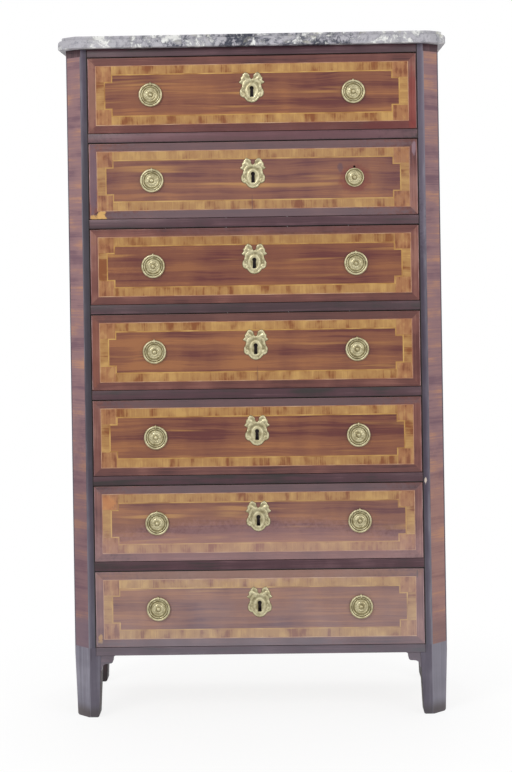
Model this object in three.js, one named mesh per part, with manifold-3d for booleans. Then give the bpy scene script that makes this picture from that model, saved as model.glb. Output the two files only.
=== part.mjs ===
// Semainier: a tall narrow chest of seven drawers with cut front corners, bracket feet and a marble top.
// All lengths are in millimetres. +X runs to the right, +Y to the back and +Z up. The origin is on the
// floor, at the middle of the marble's width and depth.

import * as THREE from "three";
import { mergeVertices } from "three/addons/utils/BufferGeometryUtils.js";
import Module from "manifold-3d";

const wasm = await Module();
wasm.setup();

// Case
const drawerCount = 7;
const caseWidth = 825;
const caseDepth = 368;
const drawerOpeningHeight = 168.2;
const railHeight = 20.4;
const topRailHeight = 19.4;
const bottomRailHeight = 17.8;
const footHeight = 136;
const cantDepth = 36;
const frontStileWidth = 50;
const frontStileDepth = 60;
const rearStileInset = 4;
const rearStileDepth = 45;
const sidePanelThickness = 20;
const backPanelThickness = 12;
const dustBoardThickness = 12;
const guideHeight = 18;
const stopWidth = 40;
const stopDepth = 12;
const stopHeight = 4;
const stopSpacing = 440;

// Marble top
const marbleThickness = 27;
const marbleSideOverhang = 16;
const marbleFrontOverhang = 18;
const marbleBackOverhang = 2;
const marbleCornerRound = 9;
const marbleNoseHeight = 20;
const marbleNoseDepth = 5;
const marbleNoseRound = 8;
const marbleFilletSetback = 8;
const marbleFilletRound = 2;

// Feet
const footOuterTaper = 5;
const footShoulder = 11;
const footInnerTaper = 6;
const footBackTaper = 8;
const footChamfer = 3;
const rearFootInnerTaper = 6;
const bracketThickness = 20;
const bracketWidth = 31;
const bracketHeight = 33;
const bracketCove = 4.5;
const bracketOvoloDrop = 17;
const bracketOvoloWidth = 7;
const bracketCavettoWidth = 15;
const bracketToe = 2;

// Drawers
const frontThickness = 22;
const frontSideGap = 1.2;
const frontEdgeGap = 1;
const boxSideGap = 2;
const boxSideHeight = 150;
const boxSideThickness = 12;
const boxBackHeight = 138;
const boxBackThickness = 12;
const boxBottomThickness = 8;
const boxBottomRise = 6;
const boxBackClearance = 8;
const guideClearance = 0.8;

// Lock and keyhole plate
const lockCaseWidth = 64;
const lockCaseHeight = 98;
const lockCaseDepth = 12;
const boltWidth = 30;
const boltThickness = 6;
const boltHeight = 24;
const boltTravel = 8;
const boltClearance = 0.5;
const boltSetback = 3;
const keyholeRise = 4;
const keyholeRadius = 4.6;
const keyholeSlotTopWidth = 5;
const keyholeSlotFootWidth = 7.6;
const keyholeHeight = 22.6;
const keyholePocketDepth = 8;
const escutcheonWidth = 58;
const escutcheonTop = 42;
const escutcheonDrop = 25;
const escutcheonThickness = 2.4;

// Ring handles
const handleSpacing = 446;
const bossRadius = 20.6;
const bossHeight = 9;
const ringRadius = 23.6;
const ringWireRadius = 2.4;
const ringStandoff = 3.4;
const eyeInnerRadius = 3;
const eyeOuterRadius = 4.8;
const eyeWidth = 3;
const ringPinHoleRadius = 2.75;
const ringPinHoleDepth = 14;

// Fits and cuts
const fitGap = 0.3;
const cutOverrun = 5;

// Outline of half the keyhole plate: across as a share of half its width, and up as a share of its top
// above the keyhole's middle, or down as a share of its drop below.
const escutcheonOutlineShares = [
  [0, 0.66],
  [0.12, 0.86],
  [0.31, 0.98],
  [0.55, 1],
  [0.7, 0.89],
  [0.83, 0.71],
  [0.83, 0.57],
  [1, 0.45],
  [0.84, 0.33],
  [0.86, 0.2],
  [0.95, -0.08],
  [0.87, -0.46],
  [0.6, -0.58],
  [0.35, -0.88],
  [0, -1],
];

// Turned profile of the boss: radius as a share of bossRadius, and height as a share of bossHeight.
const bossProfileShares = [
  [1, 0.25],
  [0.93, 0.38],
  [0.8, 0.24],
  [0.66, 0.42],
  [0.5, 0.3],
  [0.38, 0.72],
  [0.18, 0.97],
  [0, 1],
];

const ringTurnSteps = 20;
const ringWireSides = 6;
const bossSides = 16;
const pinHoleSides = 10;
const roundSteps = 4;
const missingRing = { drawer: 2, side: 1 };

// Places worked out from the sizes
const marbleWidth = caseWidth + 2 * marbleSideOverhang;
const marbleDepth = caseDepth + marbleFrontOverhang + marbleBackOverhang;
const caseHalf = caseWidth / 2;
const openingHalf = caseHalf - frontStileWidth;
const caseFront = marbleFrontOverhang - marbleDepth / 2;
const caseBack = caseFront + caseDepth;
const frontStileBack = caseFront + frontStileDepth;
const rearStileFront = caseBack - rearStileDepth;
const rearStileInner = openingHalf + rearStileInset;
const panelInner = caseHalf - sidePanelThickness;
const backPanelFront = caseBack - backPanelThickness;
const drawerPitch = drawerOpeningHeight + railHeight;
const lowestOpening = footHeight + bottomRailHeight;
const openingsTop = lowestOpening + drawerCount * drawerPitch - railHeight;
const marbleBottom = openingsTop + topRailHeight;
const caseTop = marbleBottom - fitGap;
const frontHeight = drawerOpeningHeight - 2 * frontEdgeGap;
const frontWidth = 2 * (openingHalf - frontSideGap);
const frontMiddle = drawerOpeningHeight / 2;
const frontTop = frontEdgeGap + frontHeight;
const boxHalf = openingHalf - boxSideGap;
const boxBack = caseDepth - backPanelThickness - boxBackClearance;
const boltMiddle = frontThickness + boltSetback + boltThickness / 2;
const keyholeMiddle = frontMiddle + keyholeRise;
const ringPivotHeight = frontMiddle + ringRadius;

const openingBottom = (number) => lowestOpening + (drawerCount - number) * drawerPitch;

// Shapes and booleans

function weld(geometry) {
  const bare = geometry.clone();
  bare.deleteAttribute("normal");
  bare.deleteAttribute("uv");
  const merged = mergeVertices(bare);
  const corners = merged.index.array;
  const kept = [];
  for (let i = 0; i < corners.length; i += 3) {
    const [a, b, c] = [corners[i], corners[i + 1], corners[i + 2]];
    if (a !== b && b !== c && c !== a) kept.push(a, b, c);
  }
  merged.setIndex(kept);
  return merged;
}

function manifoldOf(geometry) {
  const welded = weld(geometry);
  const mesh = new wasm.Mesh({
    numProp: 3,
    vertProperties: new Float32Array(welded.attributes.position.array),
    triVerts: new Uint32Array(welded.index.array),
  });
  return new wasm.Manifold(mesh);
}

function geometryOf(manifold) {
  const mesh = manifold.getMesh();
  const geometry = new THREE.BufferGeometry();
  geometry.setAttribute("position", new THREE.BufferAttribute(mesh.vertProperties, 3));
  geometry.setIndex(new THREE.BufferAttribute(mesh.triVerts, 1));
  return geometry;
}

function join(...parts) {
  return geometryOf(parts.map(manifoldOf).reduce((whole, part) => whole.add(part)));
}

function cut(body, ...tools) {
  return geometryOf(tools.map(manifoldOf).reduce((rest, tool) => rest.subtract(tool), manifoldOf(body)));
}

function common(...parts) {
  return geometryOf(parts.map(manifoldOf).reduce((whole, part) => whole.intersect(part)));
}

function block(x, y, z) {
  const geometry = new THREE.BoxGeometry(x[1] - x[0], y[1] - y[0], z[1] - z[0]);
  return geometry.translate((x[0] + x[1]) / 2, (y[0] + y[1]) / 2, (z[0] + z[1]) / 2);
}

function outline(points) {
  return new THREE.Shape(points.map(([across, up]) => new THREE.Vector2(across, up)));
}

function extrude(shape, depth, bevel = {}) {
  const settings = { depth, bevelEnabled: false, steps: 1, curveSegments: roundSteps, ...bevel };
  return new THREE.ExtrudeGeometry(shape, settings);
}

// A plan outline raised from bottom to top.
function alongZ(shape, bottom, top) {
  return extrude(shape, top - bottom).translate(0, 0, bottom);
}

// An outline seen from the front, carried from near to far.
function alongY(shape, near, far) {
  const turn = new THREE.Matrix4().makeBasis(
    new THREE.Vector3(1, 0, 0),
    new THREE.Vector3(0, 0, 1),
    new THREE.Vector3(0, -1, 0),
  );
  return extrude(shape, far - near).applyMatrix4(turn).translate(0, far, 0);
}

// An outline seen from the side, its first axis along Y, carried from left to right.
function alongX(shape, left, right) {
  const turn = new THREE.Matrix4().makeBasis(
    new THREE.Vector3(0, 1, 0),
    new THREE.Vector3(0, 0, 1),
    new THREE.Vector3(1, 0, 0),
  );
  return extrude(shape, right - left).applyMatrix4(turn).translate(left, 0, 0);
}

// Case pieces

// The front stile runs down into its foot. Its plan has the cut corner, its front view has the tapered
// foot with a shoulder under the bottom rail, and its side view tapers the foot's back.
function frontStile(side) {
  const outer = side * caseHalf;
  const inner = side * openingHalf;
  const shoulder = inner - side * footShoulder;
  const shoulderTop = footHeight - fitGap;
  const plan = outline([
    [outer, frontStileBack],
    [outer, caseFront + cantDepth],
    [outer - side * cantDepth, caseFront],
    [shoulder, caseFront],
    [shoulder, frontStileBack],
  ]);
  const front = outline([
    [outer, caseTop],
    [outer, footHeight],
    [outer - side * footOuterTaper, footChamfer],
    [outer - side * (footOuterTaper + footChamfer), 0],
    [shoulder + side * (footInnerTaper + footChamfer), 0],
    [shoulder + side * footInnerTaper, footChamfer],
    [shoulder, shoulderTop],
    [inner, shoulderTop],
    [inner, caseTop],
  ]);
  const sideView = outline([
    [caseFront, caseTop],
    [caseFront, footChamfer],
    [caseFront + footChamfer, 0],
    [frontStileBack - footBackTaper - footChamfer, 0],
    [frontStileBack - footBackTaper, footChamfer],
    [frontStileBack, footHeight],
    [frontStileBack, caseTop],
  ]);
  return common(
    alongZ(plan, 0, caseTop),
    alongY(front, caseFront, frontStileBack),
    alongX(sideView, -caseHalf, caseHalf),
  );
}

function rearStile(side) {
  const outer = side * caseHalf;
  const inner = side * rearStileInner;
  const front = outline([
    [outer, caseTop],
    [outer, footHeight],
    [outer - side * footOuterTaper, footChamfer],
    [outer - side * (footOuterTaper + footChamfer), 0],
    [inner + side * (rearFootInnerTaper + footChamfer), 0],
    [inner + side * rearFootInnerTaper, footChamfer],
    [inner, footHeight],
    [inner, caseTop],
  ]);
  return alongY(front, rearStileFront, caseBack);
}

// The bracket under the bottom rail: a cove, an ovolo, a step and a cavetto that runs into the foot.
function footBracket(side) {
  const lean = (footInnerTaper * bracketHeight) / footHeight;
  const edge = side * (openingHalf - footShoulder - fitGap);
  const top = footHeight - fitGap;
  const at = (inward, down) => [edge - side * inward, top - down];
  const shape = new THREE.Shape();
  shape.moveTo(...at(0, 0));
  shape.lineTo(...at(bracketWidth, 0));
  const flank = bracketWidth - bracketCove;
  shape.quadraticCurveTo(...at(flank, 0), ...at(flank, bracketOvoloDrop / 2));
  shape.quadraticCurveTo(...at(flank, bracketOvoloDrop), ...at(flank - bracketOvoloWidth, bracketOvoloDrop));
  shape.lineTo(...at(bracketCavettoWidth, bracketOvoloDrop));
  shape.quadraticCurveTo(...at(bracketToe - lean, bracketOvoloDrop), ...at(bracketToe - lean, bracketHeight));
  shape.lineTo(...at(-lean, bracketHeight));
  shape.closePath();
  return alongY(shape, caseFront, caseFront + bracketThickness);
}

function sidePanel(side) {
  const across = [side * panelInner, side * caseHalf].sort((a, b) => a - b);
  const along = [frontStileBack + fitGap, rearStileFront - fitGap];
  return block(across, along, [footHeight, caseTop]);
}

function backPanel() {
  const half = rearStileInner - fitGap;
  return block([-half, half], [backPanelFront, caseBack], [footHeight, caseTop]);
}

// A slot in the underside of a rail, over the bolt of the drawer below.
function boltMortise(underside) {
  const half = boltWidth / 2 + boltClearance;
  const middle = caseFront + boltMiddle;
  const reach = boltThickness / 2 + boltClearance;
  const depth = boltTravel - frontEdgeGap + boltClearance;
  return block([-half, half], [middle - reach, middle + reach], [underside - cutOverrun, underside + depth]);
}

function topRail() {
  const half = openingHalf - fitGap;
  const rail = block([-half, half], [caseFront, frontStileBack], [openingsTop, caseTop]);
  return cut(rail, boltMortise(openingsTop));
}

// The plan of a board that fills the case behind the front stiles, notched round the rear stiles.
function boardPlan(...frontPoints) {
  const middleHalf = panelInner - fitGap;
  const rearHalf = rearStileInner - fitGap;
  const right = [
    ...frontPoints,
    [middleHalf, frontStileBack + fitGap],
    [middleHalf, rearStileFront - fitGap],
    [rearHalf, rearStileFront - fitGap],
    [rearHalf, backPanelFront - fitGap],
  ];
  const left = right.map(([x, y]) => [-x, y]).reverse();
  return outline([...right, ...left]);
}

// Strips beside the drawer that keep it straight.
function drawerGuides(top) {
  const along = [frontStileBack + fitGap, rearStileFront - fitGap];
  const near = boxHalf + guideClearance;
  const far = panelInner - fitGap;
  const up = [top - fitGap, top + guideHeight];
  return [block([-far, -near], along, up), block([near, far], along, up)];
}

// Blocks behind the drawer's front that stop it flush with the rails.
function drawerStops(top) {
  const front = caseFront + frontThickness + fitGap;
  return [-1, 1].map((side) => {
    const middle = (side * stopSpacing) / 2;
    const across = [middle - stopWidth / 2, middle + stopWidth / 2];
    return block(across, [front, front + stopDepth], [top - fitGap, top + stopHeight]);
  });
}

// A divider under a drawer: the front rail, the dust board behind it, the guides and the stops.
function divider(number) {
  const top = openingBottom(number);
  const half = openingHalf - fitGap;
  const rail = block([-half, half], [caseFront, frontStileBack], [top - railHeight, top]);
  const plan = boardPlan([half, caseFront], [half, frontStileBack + fitGap]);
  const board = alongZ(plan, top - dustBoardThickness, top);
  return cut(join(rail, board, ...drawerGuides(top), ...drawerStops(top)), boltMortise(top - railHeight));
}

function bottomRail() {
  const half = openingHalf - fitGap;
  const rail = block([-half, half], [caseFront, frontStileBack], [footHeight, lowestOpening]);
  return join(rail, ...drawerStops(lowestOpening));
}

function bottomBoard() {
  const board = alongZ(boardPlan(), lowestOpening - dustBoardThickness, lowestOpening);
  return join(board, ...drawerGuides(lowestOpening));
}

// Marble top

function marblePlan(inset) {
  const half = marbleWidth / 2 - inset;
  const front = inset - marbleDepth / 2;
  const back = marbleDepth / 2 - inset;
  const corner = cantDepth - inset * (2 - Math.SQRT2);
  const round = marbleCornerRound;
  const slant = round / Math.SQRT2;
  const shape = new THREE.Shape();
  shape.moveTo(-half, back);
  shape.lineTo(-half, front + corner + round);
  shape.quadraticCurveTo(-half, front + corner, slant - half, front + corner - slant);
  shape.lineTo(corner - slant - half, front + slant);
  shape.quadraticCurveTo(corner - half, front, corner + round - half, front);
  shape.lineTo(half - corner - round, front);
  shape.quadraticCurveTo(half - corner, front, half - corner + slant, front + slant);
  shape.lineTo(half - slant, front + corner - slant);
  shape.quadraticCurveTo(half, front + corner, half, front + corner + round);
  shape.lineTo(half, back);
  shape.closePath();
  return shape;
}

// The slab has a rounded nose below and a set-back fillet above it.
function marbleTop() {
  const nose = extrude(marblePlan(marbleNoseDepth), marbleNoseHeight - 2 * marbleNoseRound, {
    bevelEnabled: true,
    bevelSegments: roundSteps,
    bevelThickness: marbleNoseRound,
    bevelSize: marbleNoseDepth,
  }).translate(0, 0, marbleBottom + marbleNoseRound);
  const filletHeight = marbleThickness - marbleNoseHeight;
  const fillet = extrude(marblePlan(marbleFilletSetback + marbleFilletRound), filletHeight, {
    bevelEnabled: true,
    bevelSegments: 2,
    bevelThickness: marbleFilletRound,
    bevelSize: marbleFilletRound,
  }).translate(0, 0, marbleBottom + marbleNoseHeight - marbleFilletRound);
  return join(nose, fillet);
}

// Drawer pieces, in a frame with its origin at the bottom middle of the drawer's opening, on its front

function keyhole(path) {
  const top = keyholeHeight / 2;
  const centre = top - keyholeRadius;
  const meet = keyholeSlotTopWidth / 2;
  const start = Math.asin(meet / keyholeRadius) - Math.PI / 2;
  path.absarc(0, keyholeMiddle + centre, keyholeRadius, start, Math.PI - start, false);
  path.lineTo(-keyholeSlotFootWidth / 2, keyholeMiddle - top);
  path.lineTo(keyholeSlotFootWidth / 2, keyholeMiddle - top);
  path.closePath();
  return path;
}

function boss(side) {
  const foot = [
    [0, -fitGap],
    [bossRadius, -fitGap],
  ];
  const profile = [...foot, ...bossProfileShares.map(([r, h]) => [r * bossRadius, h * bossHeight])];
  const points = profile.map(([radius, height]) => new THREE.Vector2(radius, height));
  const turned = new THREE.LatheGeometry(points, bossSides);
  return turned.rotateX(Math.PI).translate((side * handleSpacing) / 2, 0, frontMiddle);
}

// The eye that the ring hangs from, its hole along X.
function ringEye(side) {
  const left = (side * handleSpacing - eyeWidth) / 2;
  const shape = new THREE.Shape();
  shape.absarc(-ringStandoff, ringPivotHeight, eyeOuterRadius, 0, 2 * Math.PI, false);
  const hole = new THREE.Path();
  hole.absarc(-ringStandoff, ringPivotHeight, eyeInnerRadius, 0, 2 * Math.PI, true);
  shape.holes.push(hole);
  return alongX(shape, left, left + eyeWidth);
}

function ringPinHole(side) {
  const radius = ringPinHoleRadius;
  const hole = new THREE.CylinderGeometry(radius, radius, ringPinHoleDepth, pinHoleSides);
  return hole.translate((side * handleSpacing) / 2, ringPinHoleDepth / 2 - fitGap, ringPivotHeight);
}

const hasRing = (number, side) => number !== missingRing.drawer || side !== missingRing.side;

// The front with its turned bosses, ring eyes and lock case, cut for the keyhole and the bolt.
function drawerFront(number) {
  const half = frontWidth / 2;
  const board = block([-half, half], [0, frontThickness], [frontEdgeGap, frontTop]);
  const caseHalfWidth = lockCaseWidth / 2;
  const lockBack = frontThickness + lockCaseDepth;
  const lockCase = block(
    [-caseHalfWidth, caseHalfWidth],
    [frontThickness - fitGap, lockBack],
    [frontTop - lockCaseHeight, frontTop],
  );
  const eyes = [-1, 1].filter((side) => hasRing(number, side)).map(ringEye);
  const holes = [-1, 1].filter((side) => !hasRing(number, side)).map(ringPinHole);
  const body = join(board, lockCase, boss(-1), boss(1), ...eyes);
  const key = alongY(keyhole(new THREE.Shape()), -cutOverrun, frontThickness + keyholePocketDepth);
  const slotHalf = boltWidth / 2 + boltClearance;
  const slotReach = boltThickness / 2 + boltClearance;
  const slotBottom = frontTop - boltHeight - boltClearance;
  const slot = block(
    [-slotHalf, slotHalf],
    [boltMiddle - slotReach, boltMiddle + slotReach],
    [slotBottom, frontTop + cutOverrun],
  );
  return cut(body, key, slot, ...holes);
}

// Two sides, a lower back and a bottom, joined as one open box.
function drawerBox() {
  const near = frontThickness + fitGap;
  const sides = [-1, 1].map((side) => {
    const across = [side * boxHalf, side * (boxHalf - boxSideThickness)].sort((a, b) => a - b);
    return block(across, [near, boxBack], [fitGap, fitGap + boxSideHeight]);
  });
  const inner = boxHalf - boxSideThickness + fitGap;
  const back = block([-inner, inner], [boxBack - boxBackThickness, boxBack], [boxBottomRise, boxBackHeight]);
  const bottomTop = boxBottomRise + boxBottomThickness;
  const bottom = block([-inner, inner], [near, boxBack], [boxBottomRise, bottomTop]);
  return join(...sides, back, bottom);
}

function escutcheon() {
  const right = escutcheonOutlineShares.map(([across, up]) => {
    const height = up > 0 ? up * escutcheonTop : up * escutcheonDrop;
    return [(across * escutcheonWidth) / 2, keyholeMiddle + height];
  });
  const left = right.slice(1, -1).map(([x, z]) => [-x, z]).reverse();
  const shape = outline([...right, ...left]);
  shape.holes.push(keyhole(new THREE.Path()));
  return alongY(shape, -fitGap - escutcheonThickness, -fitGap);
}

function lockBolt() {
  const half = boltWidth / 2;
  const reach = boltThickness / 2;
  return block([-half, half], [-reach, reach], [-boltHeight, 0]);
}

// The ring hangs from the eye, so its pivot is at its own origin.
function ring() {
  const torus = new THREE.TorusGeometry(ringRadius, ringWireRadius, ringWireSides, ringTurnSteps);
  return torus.rotateX(Math.PI / 2).translate(0, 0, -ringRadius);
}

// Finishes

function finish(color, roughness, metalness) {
  return () => new THREE.MeshStandardMaterial({ color, roughness, metalness });
}

const marble = finish(0x8d8f92, 0.35, 0);
const darkWood = finish(0x4d4048, 0.5, 0);
const veneer = finish(0x8a5a48, 0.45, 0);
const paleWood = finish(0xb08a60, 0.7, 0);
const brass = finish(0xbdb88c, 0.35, 0.9);
const steel = finish(0x6d6c6a, 0.4, 0.9);

function piece(name, geometry, material) {
  const mesh = new THREE.Mesh(weld(geometry), material());
  mesh.name = name;
  return mesh;
}

// Assembly

const sideName = (side) => (side < 0 ? "left" : "right");

function buildCase() {
  const group = new THREE.Group();
  for (const side of [-1, 1]) {
    group.add(piece(`${sideName(side)}_front_stile`, frontStile(side), darkWood));
    group.add(piece(`${sideName(side)}_rear_stile`, rearStile(side), darkWood));
    group.add(piece(`${sideName(side)}_side_panel`, sidePanel(side), veneer));
    group.add(piece(`${sideName(side)}_foot_bracket`, footBracket(side), darkWood));
  }
  group.add(piece("back_panel", backPanel(), paleWood));
  group.add(piece("top_rail", topRail(), darkWood));
  group.add(piece("bottom_rail", bottomRail(), darkWood));
  group.add(piece("bottom_board", bottomBoard(), paleWood));
  group.add(piece("marble_top", marbleTop(), marble));
  for (let number = 1; number < drawerCount; number += 1) {
    group.add(piece(`divider_${number}`, divider(number), darkWood));
  }
  return group;
}

function buildDrawer(number) {
  const group = new THREE.Group();
  group.position.set(0, caseFront, openingBottom(number));
  group.add(piece(`drawer_front_${number}`, drawerFront(number), veneer));
  group.add(piece(`drawer_box_${number}`, drawerBox(), paleWood));
  group.add(piece(`escutcheon_${number}`, escutcheon(), brass));
  const bolt = piece(`lock_bolt_${number}`, lockBolt(), steel);
  bolt.position.set(0, boltMiddle, frontTop);
  group.add(bolt);
  for (const side of [-1, 1].filter((each) => hasRing(number, each))) {
    const handle = piece(`${sideName(side)}_ring_handle_${number}`, ring(), brass);
    handle.position.set((side * handleSpacing) / 2, -ringStandoff, ringPivotHeight);
    group.add(handle);
  }
  return group;
}

const semainier = new THREE.Group();
semainier.add(buildCase());
for (let number = 1; number <= drawerCount; number += 1) {
  semainier.add(buildDrawer(number));
}

export default semainier;
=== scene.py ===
"""The semainier's visible surfaces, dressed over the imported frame.

Lengths are in metres. +X is to the right, -Y is the front and +Z is up, as in the frame. Each sub-assembly
is a class that builds its own pieces and gives each one its finish.
"""
import logging
import math
from collections.abc import Callable, Iterable, Sequence
from dataclasses import dataclass
from enum import Enum
from functools import cached_property

import bmesh
import bpy
from mathutils import Matrix, Vector, geometry


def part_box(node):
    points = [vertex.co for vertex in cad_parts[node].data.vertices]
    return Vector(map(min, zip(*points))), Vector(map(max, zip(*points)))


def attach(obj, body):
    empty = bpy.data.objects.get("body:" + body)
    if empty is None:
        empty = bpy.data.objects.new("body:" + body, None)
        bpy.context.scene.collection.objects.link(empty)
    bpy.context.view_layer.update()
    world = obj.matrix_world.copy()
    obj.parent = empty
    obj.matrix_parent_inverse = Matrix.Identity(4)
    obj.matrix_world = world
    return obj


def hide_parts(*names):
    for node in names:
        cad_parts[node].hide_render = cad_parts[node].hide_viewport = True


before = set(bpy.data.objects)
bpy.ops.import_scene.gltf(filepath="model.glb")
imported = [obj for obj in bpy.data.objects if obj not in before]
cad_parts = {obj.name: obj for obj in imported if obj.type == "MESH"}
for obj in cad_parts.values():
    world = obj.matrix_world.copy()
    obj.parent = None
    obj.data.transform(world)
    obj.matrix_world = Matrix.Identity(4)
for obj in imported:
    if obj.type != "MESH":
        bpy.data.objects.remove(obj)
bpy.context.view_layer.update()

LOG = logging.getLogger("semainier")
MM = 0.001
GRAIN = "Grain"
SIDES = {-1: "left", 1: "right"}
DRAWERS = 7
MISSING_RING = (2, 1)
RIGHT = Vector((1, 0, 0))
BACKWARD = Vector((0, 1, 0))
UPWARD = Vector((0, 0, 1))
SHEEN = 0.042
DARKEST = 0.004

Point = tuple[float, float]
Place = Sequence[float]
Shade = tuple[int, int, int]
Colour = tuple[float, float, float, float]


def tint(red: float, green: float, blue: float) -> Colour:
    """The linear colour, with full alpha, that looks like a display colour of 0 to 255."""
    parts = (each / 255 for each in (red, green, blue))
    return (*(p / 12.92 if p <= 0.04045 else ((p + 0.055) / 1.055) ** 2.4 for p in parts), 1.0)


def waxed(red: float, green: float, blue: float) -> Colour:
    """The veneer colour that looks like this display colour once the wax's pale sheen lies over it."""
    return (*(max(DARKEST, part - SHEEN) for part in tint(red, green, blue)[:3]), 1.0)


@dataclass(frozen=True)
class CaseSizes:
    """The case's main planes."""

    half: float = 412.5 * MM
    opening_half: float = 362.5 * MM
    front: float = -176 * MM
    cant: float = 36 * MM
    lowest_opening: float = 153.8 * MM
    pitch: float = 188.6 * MM

    def opening_bottom(self, number: int) -> float:
        """The bottom of a drawer's opening; the first drawer is the highest."""
        return self.lowest_opening + (DRAWERS - number) * self.pitch


CASE = CaseSizes()

# Node tools


class Wire:
    """A node's value that can be used in Python sums."""

    def __init__(self, nodes: "Nodes", socket: bpy.types.NodeSocket) -> None:
        """Keeps the socket and the tree that new nodes go into."""
        self.nodes = nodes
        self.socket = socket

    def __add__(self, other: "Wire | float") -> "Wire":
        """Adds."""
        return self.nodes.sum("ADD", self, other)

    def __mul__(self, other: "Wire | float") -> "Wire":
        """Multiplies."""
        return self.nodes.sum("MULTIPLY", self, other)

    def __sub__(self, other: "Wire | float") -> "Wire":
        """Subtracts."""
        return self.nodes.sum("SUBTRACT", self, other)

    def __rsub__(self, other: float) -> "Wire":
        """Subtracts this value from a number."""
        return self.nodes.sum("SUBTRACT", other, self)

    def __truediv__(self, other: "Wire | float") -> "Wire":
        """Divides."""
        return self.nodes.sum("DIVIDE", self, other)

    def floor(self) -> "Wire":
        """Rounds down."""
        return self.nodes.sum("FLOOR", self)

    def size(self) -> "Wire":
        """Drops the sign."""
        return self.nodes.sum("ABSOLUTE", self)

    def or_more(self, other: "Wire") -> "Wire":
        """The larger of the two."""
        return self.nodes.sum("MAXIMUM", self, other)

    def smooth(self, low: float, high: float) -> "Wire":
        """Rises smoothly from 0 at low to 1 at high."""
        values = {"Value": self, "From Min": low, "From Max": high}
        return self.nodes.wire("ShaderNodeMapRange", {"interpolation_type": "SMOOTHSTEP"}, values, "Result")


class Nodes:
    """A node tree that is filled by short calls."""

    def __init__(self, tree: bpy.types.NodeTree) -> None:
        """Keeps the tree, emptied."""
        self.tree = tree
        tree.nodes.clear()

    def put(self, socket: bpy.types.NodeSocket, value: object) -> None:
        """Links or sets one input.

        Args:
            socket: The input.
            value: A wire, a socket or a plain value.
        """
        value = value.socket if isinstance(value, Wire) else value
        if isinstance(value, bpy.types.NodeSocket):
            self.tree.links.new(value, socket)
        else:
            socket.default_value = value

    def node(self, kind: str, settings: dict | None = None, values: dict | None = None) -> bpy.types.Node:
        """Adds a node.

        Args:
            kind: The node's type.
            settings: Its properties, set first.
            values: Its inputs by name or number.

        Returns:
            The node.
        """
        made = self.tree.nodes.new(kind)
        for name, value in (settings or {}).items():
            setattr(made, name, value)
        for key, value in (values or {}).items():
            self.put(made.inputs[key], value)
        return made

    def wire(self, kind: str, settings: dict | None = None, values: dict | None = None,
             output: str | int = 0) -> Wire:
        """Adds a node and returns one of its outputs."""
        return Wire(self, self.node(kind, settings, values).outputs[output])

    def sum(self, operation: str, *terms: Wire | float) -> Wire:
        """Adds a Math node over these terms."""
        return self.wire("ShaderNodeMath", {"operation": operation}, dict(enumerate(terms)))

    def vector(self, x: Wire | float = 0.0, y: Wire | float = 0.0, z: Wire | float = 0.0) -> Wire:
        """Joins three values in a vector."""
        return self.wire("ShaderNodeCombineXYZ", {}, {"X": x, "Y": y, "Z": z})

    def seen(self) -> Wire:
        """1 for what the camera, gloss or glass looks at, and 0 for what only lights the object."""
        camera, gloss, glass = (self.wire("ShaderNodeLightPath", output=f"Is {kind} Ray")
                                for kind in ("Camera", "Glossy", "Transmission"))
        return camera.or_more(gloss.or_more(glass))


class Recipe(Nodes):
    """One material's nodes."""

    def __init__(self, name: str) -> None:
        """Makes a material with a Principled surface.

        Args:
            name: The material's name.
        """
        self.material = bpy.data.materials.new(name)
        self.material.use_nodes = True
        super().__init__(self.material.node_tree)
        self.surface = self.node("ShaderNodeBsdfPrincipled")
        self.output = self.node("ShaderNodeOutputMaterial", {}, {"Surface": self.surface.outputs["BSDF"]})

    def parts(self, vector: Wire) -> tuple[Wire, Wire, Wire]:
        """Splits a vector into its three values."""
        node = self.node("ShaderNodeSeparateXYZ", {}, {"Vector": vector})
        return tuple(Wire(self, node.outputs[axis]) for axis in "XYZ")

    def place(self) -> Wire:
        """The point's place in the frame."""
        return self.wire("ShaderNodeTexCoord", output="Object")

    def grain(self) -> tuple[Wire, Wire]:
        """The point's place along and across the veneer's strip."""
        return self.parts(self.wire("ShaderNodeUVMap", {"uv_map": GRAIN}))[:2]

    def noise(self, vector: Wire, scale: float, detail: float = 3.0, roughness: float = 0.55) -> Wire:
        """Adds smooth noise and returns its value, about 0.5."""
        values = {"Vector": vector, "Scale": scale, "Detail": detail, "Roughness": roughness}
        return self.wire("ShaderNodeTexNoise", {}, values)

    def streaks(self, along: Wire, across: Wire | float, detail: float, roughness: float = 0.55) -> Wire:
        """Noise over a place that is already scaled along and across the fibre."""
        return self.noise(self.vector(along, across), 1.0, detail, roughness)

    def chance(self, value: Wire, seed: float) -> Wire:
        """A number between 0 and 1 that jumps at random as the value changes."""
        values = {"Vector": self.vector(value, seed)}
        return self.wire("ShaderNodeTexWhiteNoise", {"noise_dimensions": "2D"}, values)

    def mix(self, first: Wire | Colour, second: Wire | Colour, factor: Wire | float) -> Wire:
        """Mixes two colours, the second by this factor."""
        settings = {"data_type": "RGBA", "blend_type": "MIX", "clamp_factor": True}
        return self.wire("ShaderNodeMix", settings, {0: factor, 6: first, 7: second}, 2)

    def bump(self, height: Wire, distance: float) -> None:
        """Raises the surface's normal by a height from 0 to 1."""
        values = {"Height": height, "Distance": distance, "Strength": 1.0}
        self.feed({"Normal": self.wire("ShaderNodeBump", {}, values)})

    def feed(self, values: dict) -> None:
        """Sets or links the surface's sockets."""
        for key, value in values.items():
            self.put(self.surface.inputs[key], value)


# Finishes


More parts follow.
